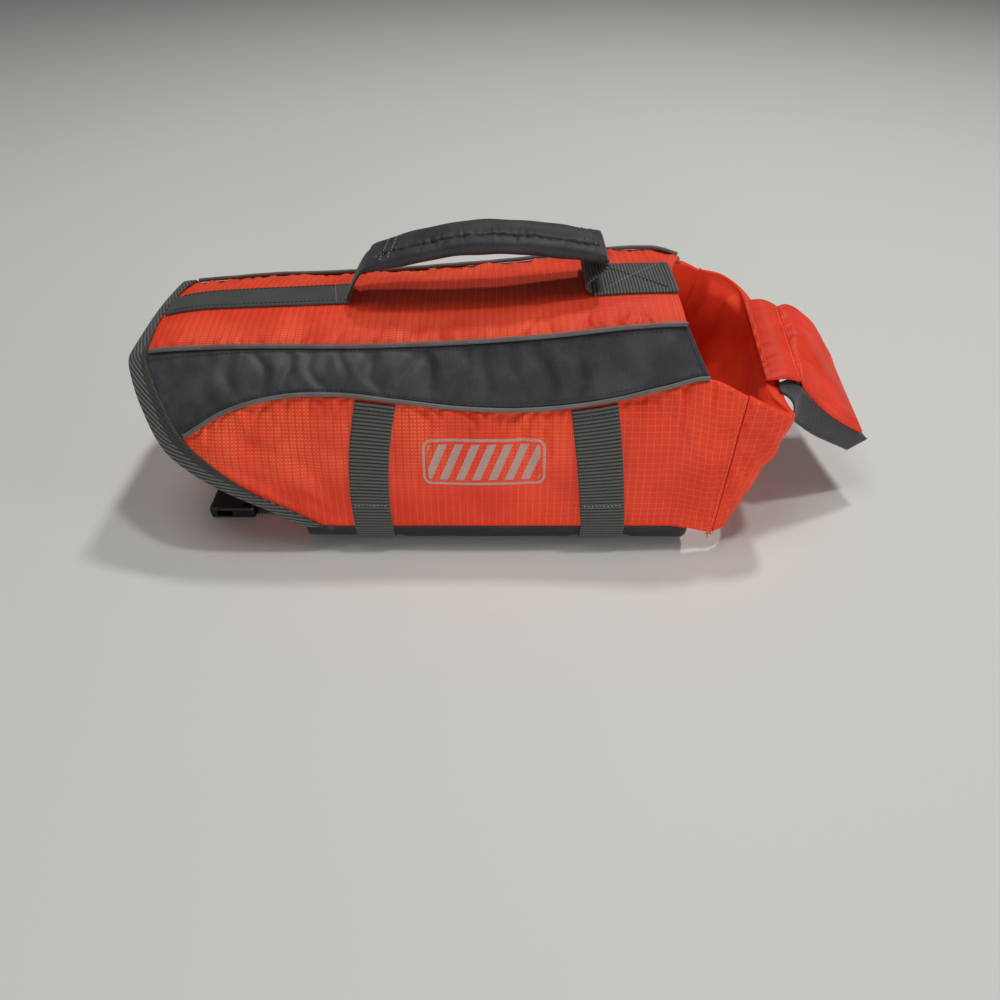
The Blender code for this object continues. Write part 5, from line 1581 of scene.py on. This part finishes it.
# ================================================================ chin float
# A puckered channel joins the chest's rim to a soft foam pad that droops ahead of it.
# The pad keeps the dog's chin up in water; a sheet of grey loop cloth backs it.
Chin = namedtuple("Chin", "near_x near_y near_z far_x far_y far_z thick crown")
CHIN_EDGE, CHIN_WIDTH = 1.8, 86.0
CHIN_CLOTH = orange_plain("orange_plain", 0.3)
CHANNEL = [
    Chin(150.5, -39.5, 78.6, 158.5, 46.5, 83.4, 2.4, 0.0),
    Chin(155.0, -40.0, 79.6, 163.5, 47.0, 84.6, 3.6, 0.8),
    Chin(160.5, -40.0, 80.2, 169.5, 46.5, 85.0, 4.0, 1.2),
    Chin(166.0, -40.0, 79.4, 175.0, 45.5, 83.4, 3.6, 0.8),
    Chin(170.3, -39.5, 77.8, 179.3, 44.5, 81.4, 2.4, 0.0),
]
FLAP = [
    Chin(170.8, -39.5, 77.6, 179.8, 44.5, 81.2, 2.6, 0.0),
    Chin(175.5, -41.0, 72.4, 185.5, 47.0, 81.4, 7.5, 3.2),
    Chin(182.5, -41.5, 65.9, 192.5, 48.0, 78.6, 10.0, 4.6),
    Chin(191.5, -41.5, 58.4, 200.5, 47.5, 73.0, 10.5, 4.8),
    Chin(201.0, -41.0, 51.6, 207.5, 46.0, 67.0, 9.5, 4.0),
    Chin(210.0, -40.0, 45.8, 212.5, 43.0, 61.5, 7.0, 2.4),
    Chin(217.0, -38.5, 41.6, 215.0, 38.5, 57.5, 3.0, 0.0),
]
Lip = namedtuple("Lip", "row x y z")
FACING_LIP = [
    Lip(0, -1.0, -6.5, -0.3), Lip(0.8, -5.5, -9.5, -10.0), Lip(2, -5.0, -7.0, -12.0),
    Lip(4, -4.0, -4.5, -10.0), Lip(6, -11.0, -3.5, -5.0),
]
FACING_WALL, FACING_TIP, FACING_START = 1.4, 7.0, 19.0
FACING_BEYOND = 0.11        # share of the float's width by which the sheet shows past its near edge


def chin_points(rows, position, across):
    """Points of the chin float's upper face at one share of its width."""
    values = table_rows(rows, position)
    crown = values[:, 7] * math.sin(math.pi * across) ** 0.6 if 0.0 < across < 1.0 else 0.0 * values[:, 7]
    points = values[:, 0:3] + (values[:, 3:6] - values[:, 0:3]) * across
    points[:, 2] += crown
    return points


def chin_down(rows, position, across):
    last = len(rows) - 1.0
    run = chin_points(rows, np.minimum(position + 0.1, last), across)
    run = run - chin_points(rows, np.maximum(position - 0.1, 0.0), across)
    down = np.cross(run, np.array([0.0, 1.0, 0.0]))
    down /= np.linalg.norm(down, axis=1)[:, None]
    down[down[:, 2] > 0.0] *= -1.0
    down[:, 0] *= ease(position) if rows is FLAP else 0.0
    return down / np.linalg.norm(down, axis=1)[:, None]


def chin_thickness(rows, position, across):
    inside = min(max(across, 0.0), 1.0)
    swell = math.sin(math.pi * inside) ** 0.5 if 0.0 < inside < 1.0 else 0.0
    return CHIN_EDGE + (table_rows(rows, position)[:, 6] - CHIN_EDGE) * swell


def chin_pad(name, node, rows, count, columns, relief, fill):
    position = np.linspace(0.0, len(rows) - 1.0, count)
    top, under, uv = [], [], []
    for across in np.linspace(0.0, 1.0, columns):
        point = chin_points(rows, position, across)
        down = chin_down(rows, position, across)
        run = run_length(point)
        lift = relief(run, across * CHIN_WIDTH)
        top.append((point - down * lift[:, None]) * MM)
        under.append((point + down * chin_thickness(rows, position, across)[:, None]) * MM)
        uv.append(np.column_stack([run, across * CHIN_WIDTH + 0.0 * run]) * MM)
    padded_piece(name, node, "orange_ripstop", top, under, uv, fill, CHIN_CLOTH, CHIN_CLOTH)


chin_rng = np.random.default_rng(9)
SEAM_PULLS = [gathers(chin_rng, 2.0, 84.0, 5.2, 1.0, 7.0) for _ in range(3)]


def seam_pull(run, y, rows):
    """Gathers that start at a sewn line across the float and run away from it."""
    return pull_relief(0.0 * run, y, run, rows, 0.6, 1.5)


def channel_relief(run, y):
    length = run[-1]
    edges = ease(min(y, CHIN_WIDTH - y) / 3.0)
    pulls = seam_pull(run, y, SEAM_PULLS[0]) + seam_pull(length - run, y, SEAM_PULLS[1])
    return pulls * 0.9 * edges + 0.9 * np.sin(math.pi * run / length) * edges


FLAP_FOLDS = [
    Fold(8, 30, 26, 22, 1.2, 4.0), Fold(6, 58, 24, 66, 1.2, 4.0), Fold(30, 10, 52, 18, 1.0, 4.5),
    Fold(34, 74, 50, 66, 1.0, 4.5),
]


FLAP_WAVES = [(34.0, 0.7, 0.5, 0.4), (22.0, -0.6, 2.0, 0.25)]


def flap_relief(run, y):
    length = run[-1]
    edges = ease(min(y, CHIN_WIDTH - y) / 4.0) * ease((length - run) / 4.0)
    broad = slack(run, y, FLAP_WAVES) * ease(run / 6.0)
    hem = -1.3 * math.exp(-((y - 6.0) / 1.7) ** 2) * ease(run / 9.0) * (1.0 + 0.35 * np.sin(run / 1.7))
    folds = fold_relief(run, y + 0.0 * run, FLAP_FOLDS)
    return (seam_pull(run, y, SEAM_PULLS[2]) + folds + broad + hem) * edges


chin_pad("chin_channel", "chin_tongue", CHANNEL, 60, 120, channel_relief, 0.4)
chin_pad("chin_pad", "chin_flap", FLAP, 120, 130, flap_relief, 0.7)


def loop_cloth():
    """Short grey pile of the loop sheet, with a few crushed patches."""
    t = new_material("loop_facing")
    place_on = t.object_place()
    pile = t.noise(place_on, 1300.0, 3.0, 0.7)
    patch = t.noise(place_on, 90.0, 2.0, 0.5)
    colour = t.mix(t.span(pile, 0.35, 0.7), (0.014, 0.015, 0.016, 1.0), (0.062, 0.063, 0.066, 1.0))
    colour = t.mix(t.span(patch, 0.5, 0.75, 0.0, 0.35), colour, (0.07, 0.07, 0.074, 1.0))
    surface(t, colour, t.span(pile, 0.2, 0.8, 0.8, 0.95), Sheen_Weight=0.35)
    return bumped(t, (pile, 0.0006, 0.8))


def flap_facing():
    last = len(FLAP) - 1.0
    position = np.linspace(0.0, last, 110)
    lip = smooth_rows([row.row for row in FACING_LIP], np.array([row[1:] for row in FACING_LIP]), position)
    tip_run, start_run = FACING_TIP * ease(position - last + 1.0), FACING_START * ease(0.6 - position)
    top, under, uv = [], [], []
    for across in np.concatenate([np.linspace(-FACING_BEYOND, 0.0, 14)[:-1], np.linspace(0.0, 1.0, 90)]):
        inside = min(max(across, 0.0), 1.0)
        down = chin_down(FLAP, position, inside)
        beyond = max(0.0, -across) / FACING_BEYOND
        tip = tip_run - start_run * (1.0 - ease(inside / 0.12))
        thick = chin_thickness(FLAP, position, inside)
        point = chin_points(FLAP, position, inside) + down * (thick + GAP + 0.2)[:, None] + lip * beyond
        point = point + np.column_stack([-down[:, 2], 0.0 * tip, down[:, 0]]) * tip[:, None]
        top.append(point * MM)
        under.append((point + down * FACING_WALL) * MM)
        run = run_length(point)
        uv.append(np.column_stack([run, across * CHIN_WIDTH + 0.0 * run]) * MM)
    cloth = loop_cloth()
    piece = place("loop_sheet", closed_wall("loop_sheet", top, under, uv), cloth, cloth)
    settle(piece, "loop_facing", "flap_facing")


flap_facing()


# ================================================================ sewing
# Lockstitch in thick thread holds the webbing, the tape and every seam that shows on the face.
# Each stitch is a short rounded bead that presses a little into the cloth.
STITCH_ROWS = {"dark": [], "orange": [], "pale": []}
STITCH_LIFT = 0.15          # how far a stitch's middle stands over the cloth
TOP_TACK, HEM_TACK = LOWER + 0.09, 2.80     # girth positions of the bartacks on the side straps
# Rows sewn across the webbing on the back: where each starts and ends, and its height over the webbing
BackRow = namedtuple("BackRow", "tone x0 across0 x1 across1 half out")
BACK_ROWS = [
    BackRow("pale", -92.5, -0.9, -96.5, 0.9, TAPE_HALF, 0.15),
    BackRow("pale", 58.0, -0.78, 92.0, 0.78, FRONT_WEB_HALF, 0.45),
    BackRow("dark", 58.0, 0.78, 92.0, -0.78, FRONT_WEB_HALF, 0.4),
    BackRow("dark", 94.0, -0.9, 94.0, 0.9, FRONT_WEB_HALF, 0.5),
    BackRow("dark", 56.0, -0.9, 56.0, 0.9, FRONT_WEB_HALF, 0.4),
]


def stitch_tree():
    """Puts short beads of thread at an even pitch along paths."""
    tree, t, enter, leave = geometry_tree(
        "Stitch row", {"Pitch": 0.0025, "Stitch Length": 0.0018, "Thread Radius": 0.0003})
    curve = t.fed("GeometryNodeMeshToCurve", {0: enter["Geometry"]})
    spots = t.fed("GeometryNodeCurveToPoints", {"Curve": curve[0], "Length": enter["Pitch"]}, mode="LENGTH")
    bead = t.fed("GeometryNodeMeshUVSphere", {"Segments": 6, "Rings": 5, "Radius": 1.0})
    smooth = t.fed("GeometryNodeSetShadeSmooth", {"Geometry": bead[0]})
    half_length = t.times(enter["Stitch Length"], 0.5)
    radius = enter["Thread Radius"]
    size = t.fed("ShaderNodeCombineXYZ", {0: radius, 1: radius, 2: half_length})
    put = t.fed("GeometryNodeInstanceOnPoints", {
        "Points": spots["Points"], "Instance": smooth[0], "Rotation": spots["Rotation"], "Scale": size[0]})
    finish_tree(t, put[0], enter, leave)
    return tree


def thread(name, low, high):
    """Twisted polyester thread: fine slanting ply lines and a few fuzzy flecks."""
    t = new_material(name)
    place_on = t.object_place()
    ply = t.noise(place_on, 3200.0, 2.0, 0.6)
    colour = t.mix(t.span(ply, 0.3, 0.7), low, high)
    surface(t, colour, t.span(ply, 0.3, 0.7, 0.45, 0.7), Sheen_Weight=0.1)
    return bumped(t, (ply, 0.0001, 0.5))


def skin_row(girth, side, start, end, relief, out=STITCH_LIFT):
    """A row of stitches along the jacket at one girth position, on the creased cloth."""
    x = np.linspace(start, end, 400)
    return skin(x, girth, side, relief(x, girth, side) + out)


def upright_row(back_from_edge, first, last, side, relief, out=STITCH_LIFT):
    """A row of stitches down the jacket, at a distance from its front edge."""
    rows = []
    for girth in np.linspace(first, last, 120):
        x = np.array([front_x(girth, side) - back_from_edge])
        rows.append(skin(x, girth, side, relief(x, girth, side) + out)[0])
    return np.array(rows)


def sew(tone, points):
    STITCH_ROWS[tone].append(points)


def panel_stitching():
    for side in (NEAR, FAR):
        start = rear_x(UPPER, side) + binding_reach(UPPER) + 2.0
        end = front_x(UPPER + 0.01, side) - 2.0
        sew("dark", skin_row(UPPER + 0.085, side, start, end, band_relief))
        low_start = rear_x(LOWER, side) + binding_reach(LOWER) + 4.0
        sew("dark", skin_row(LOWER - 0.10, side, low_start, end + 9.0, band_relief))
        sew("dark", upright_row(2.6, UPPER + 0.09, LOWER - 0.1, side, band_relief))
        sew("orange", upright_row(1.7, LOWER + 0.05, HEM - 0.01, side, side_relief))
        sew("orange", upright_row(3.2, 0.40, UPPER - 0.03, side, top_relief))


def binding_stitching():
    rows = []
    girths = np.linspace(HEM - 0.02, SPINE + 0.01, 240)
    for girth, side in [(g, FAR) for g in girths] + [(g, NEAR) for g in girths[::-1]]:
        x = rear_x(float(girth), side) + binding_reach(girth) - 1.5
        rows.append(skin(x, float(girth), side, GAP + 0.1 + BINDING_TAPE + STITCH_LIFT)[0])
    sew("dark", np.array(rows))


def strap_stitching():
    """Bartacks across the side straps above the hem, and rows along the tape and the front webbing."""
    for run in (REAR_STRAP, FRONT_STRAP):
        for side in (NEAR, FAR):
            for girth in (TOP_TACK, HEM_TACK) if side == NEAR else (TOP_TACK,):
                x = strap_x(run, girth) + run.half * np.linspace(-0.78, 0.78, 40)
                wobble = 0.25 * np.sin(x * 2.3)
                row = skin(x, girth, side, GAP + WEB + 0.35)
                row[:, 2] += wobble * MM
                sew("pale" if girth == HEM_TACK else "dark", row)
    for across in (-0.84, 0.84):
        x = np.linspace(SPINE_TAPE_FROM + 6.0, SPINE_TAPE_TO - 2.0, 300)
        sew("dark", over_back(x, across, TAPE_HALF, GAP + WEB + 0.2))
    for row in BACK_ROWS:
        points = []
        for t in np.linspace(0.0, 1.0, 60):
            x = row.x0 + (row.x1 - row.x0) * t
            across = row.across0 + (row.across1 - row.across0) * t
            points.append(over_back(x, across, row.half, GAP + WEB + row.out)[0])
        sew(row.tone, np.array(points))


def grip_row(points_xy, out=STITCH_LIFT):
    """Stitches on the upper face of the handle's sleeve, through places given as x and y."""
    position = np.linspace(0.0, len(GRIP) - 1.0, 800)
    ring_x = table_rows(GRIP, position)[:, 0]
    row = []
    for x, y in points_xy:
        at = np.interp(x, ring_x, position)
        half = float(table_rows(GRIP, at)[0, 2])
        c = np.sign(y) * (abs(y) / half) ** (1.0 / GRIP_SQUARE)
        turn = np.array([[math.acos(max(-1.0, min(1.0, c)))]])
        base = grip_surface(np.array([at]), turn)
        lift = float(grip_relief(base, turn)[0, 0]) + out
        row.append(base[0, 0] + np.array([0.0, 0.0, lift]))
    return np.array(row) * MM


def grip_stitching():
    along = [(x, GRIP_STITCH_Y + 0.5 * math.sin(x * 1.05)) for x in np.linspace(-66.0, 53.0, 500)]
    sew("dark", grip_row(along, 0.3))
    for tone, x0, lean, y0, width in (("pale", -64.5, 3.0, -15.0, 28.0), ("pale", -60.0, 3.0, -15.0, 28.0),
                                      ("dark", 46.0, 0.0, -15.5, 31.0), ("dark", 51.0, 0.0, -15.5, 31.0)):
        places = [(x0 + lean * t, y0 + width * t) for t in np.linspace(0.0, 1.0, 80)]
        sew(tone, grip_row(places))


def chest_and_chin_stitching():
    for rows, relief, run_out in ((CHANNEL, channel_relief, 1.6), (FLAP, flap_relief, 2.2)):
        position = np.linspace(0.0, len(rows) - 1.0, 200)
        for far_edge in (False, True) if rows is CHANNEL else (False,):
            row = []
            for across in np.linspace(0.04, 0.96, 160):
                point = chin_points(rows, position, across)
                down = chin_down(rows, position, across)
                run = run_length(point)
                at = np.searchsorted(run, run[-1] - run_out if far_edge else run_out)
                lift = np.atleast_1d(relief(run, across * CHIN_WIDTH))[at] + 0.12
                row.append(point[at] - down[at] * lift)
            sew("orange", np.array(row) * MM)


def frays(rng, root, aim, spread, count, length):
    """Loose thread ends that curl away from a cut corner."""
    paths, along = [], np.linspace(0.0, 1.0, 7)[:, None]
    for _ in range(count):
        start = np.array(root) + rng.uniform(-1.0, 1.0, 3) * spread
        way = np.array(aim) + rng.uniform(-0.7, 0.7, 3)
        way /= np.linalg.norm(way)
        bend = rng.uniform(-1.0, 1.0, 3) * 0.5
        reach = length * rng.uniform(0.45, 1.0)
        paths.append((start + way * reach * along + bend * reach * along * along) * MM)
    return paths


def loose_ends():
    rng = np.random.default_rng(83)
    corner = skin(118.0, HEM, NEAR, -0.4)[0] / MM
    orange = frays(rng, corner, (0.2, -0.5, -0.6), (1.6, 0.1, 0.5), 14, 3.2)
    tail = skin(-96.0, HEM, NEAR, -0.4)[0] / MM
    pale = frays(rng, tail, (-0.7, -0.7, -0.2), (3.0, 0.1, 0.5), 12, 4.0)
    for name, paths, slot, low, high in (
            ("loose_threads_orange", orange, "orange_ripstop",
             (0.55, 0.03, 0.015, 1.0), (0.9, 0.12, 0.05, 1.0)),
            ("loose_threads_grey", pale, "binding_tape",
             (0.05, 0.05, 0.045, 1.0), (0.18, 0.18, 0.16, 1.0))):
        piece = grown(name, path_mesh(name, *paths), CORD_TREE,
                      Radius=0.00011, Sides=5, Material=thread(name, low, high))
        settle(piece, slot)


loose_ends()
panel_stitching()
binding_stitching()
strap_stitching()
grip_stitching()
chest_and_chin_stitching()
STITCH_TREE = stitch_tree()
Thread = namedtuple("Thread", "low high slot pitch length radius")
THREADS = {
    "dark": Thread((0.012, 0.012, 0.013, 1.0), (0.05, 0.05, 0.053, 1.0),
                   "grey_oxford", 0.0025, 0.0019, 0.00030),
    "orange": Thread((0.80, 0.10, 0.04, 1.0), (1.0, 0.30, 0.15, 1.0),
                     "orange_ripstop", 0.0026, 0.0020, 0.00032),
    "pale": Thread((0.20, 0.20, 0.19, 1.0), (0.42, 0.42, 0.40, 1.0),
                   "grey_oxford", 0.0022, 0.0016, 0.00024),
}
for tone, kind in THREADS.items():
    sewn = grown(f"stitches_{tone}", path_mesh(f"stitches_{tone}", *STITCH_ROWS[tone]), STITCH_TREE,
                 Pitch=kind.pitch, Stitch_Length=kind.length, Thread_Radius=kind.radius,
                 Material=thread(f"thread_{tone}", kind.low, kind.high))
    settle(sewn, kind.slot)


# ================================================================ buckles
# Two side-release buckles of black moulded plastic close the belly straps.
# The front one is shut on the far side; the rear one is open, and its socket lies on the table.
def black_plastic():
    t = new_material("black_plastic")
    place_on = t.object_place()
    grain = t.noise(place_on, 1400.0, 2.0, 0.5)
    rub = t.noise(place_on, 160.0, 3.0, 0.6)
    colour = t.mix(t.span(rub, 0.5, 0.8, 0.0, 0.5), (0.005, 0.005, 0.0055, 1.0), (0.024, 0.024, 0.026, 1.0))
    surface(t, colour, t.span(rub, 0.3, 0.7, 0.30, 0.48))
    return bumped(t, (grain, 0.00006, 0.35))


BLACK_PLASTIC = black_plastic()
for node in ("buckle_front_socket", "buckle_front_plug", "buckle_rear_plug", "buckle_rear_socket"):
    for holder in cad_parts[node].material_slots:
        holder.material = BLACK_PLASTIC
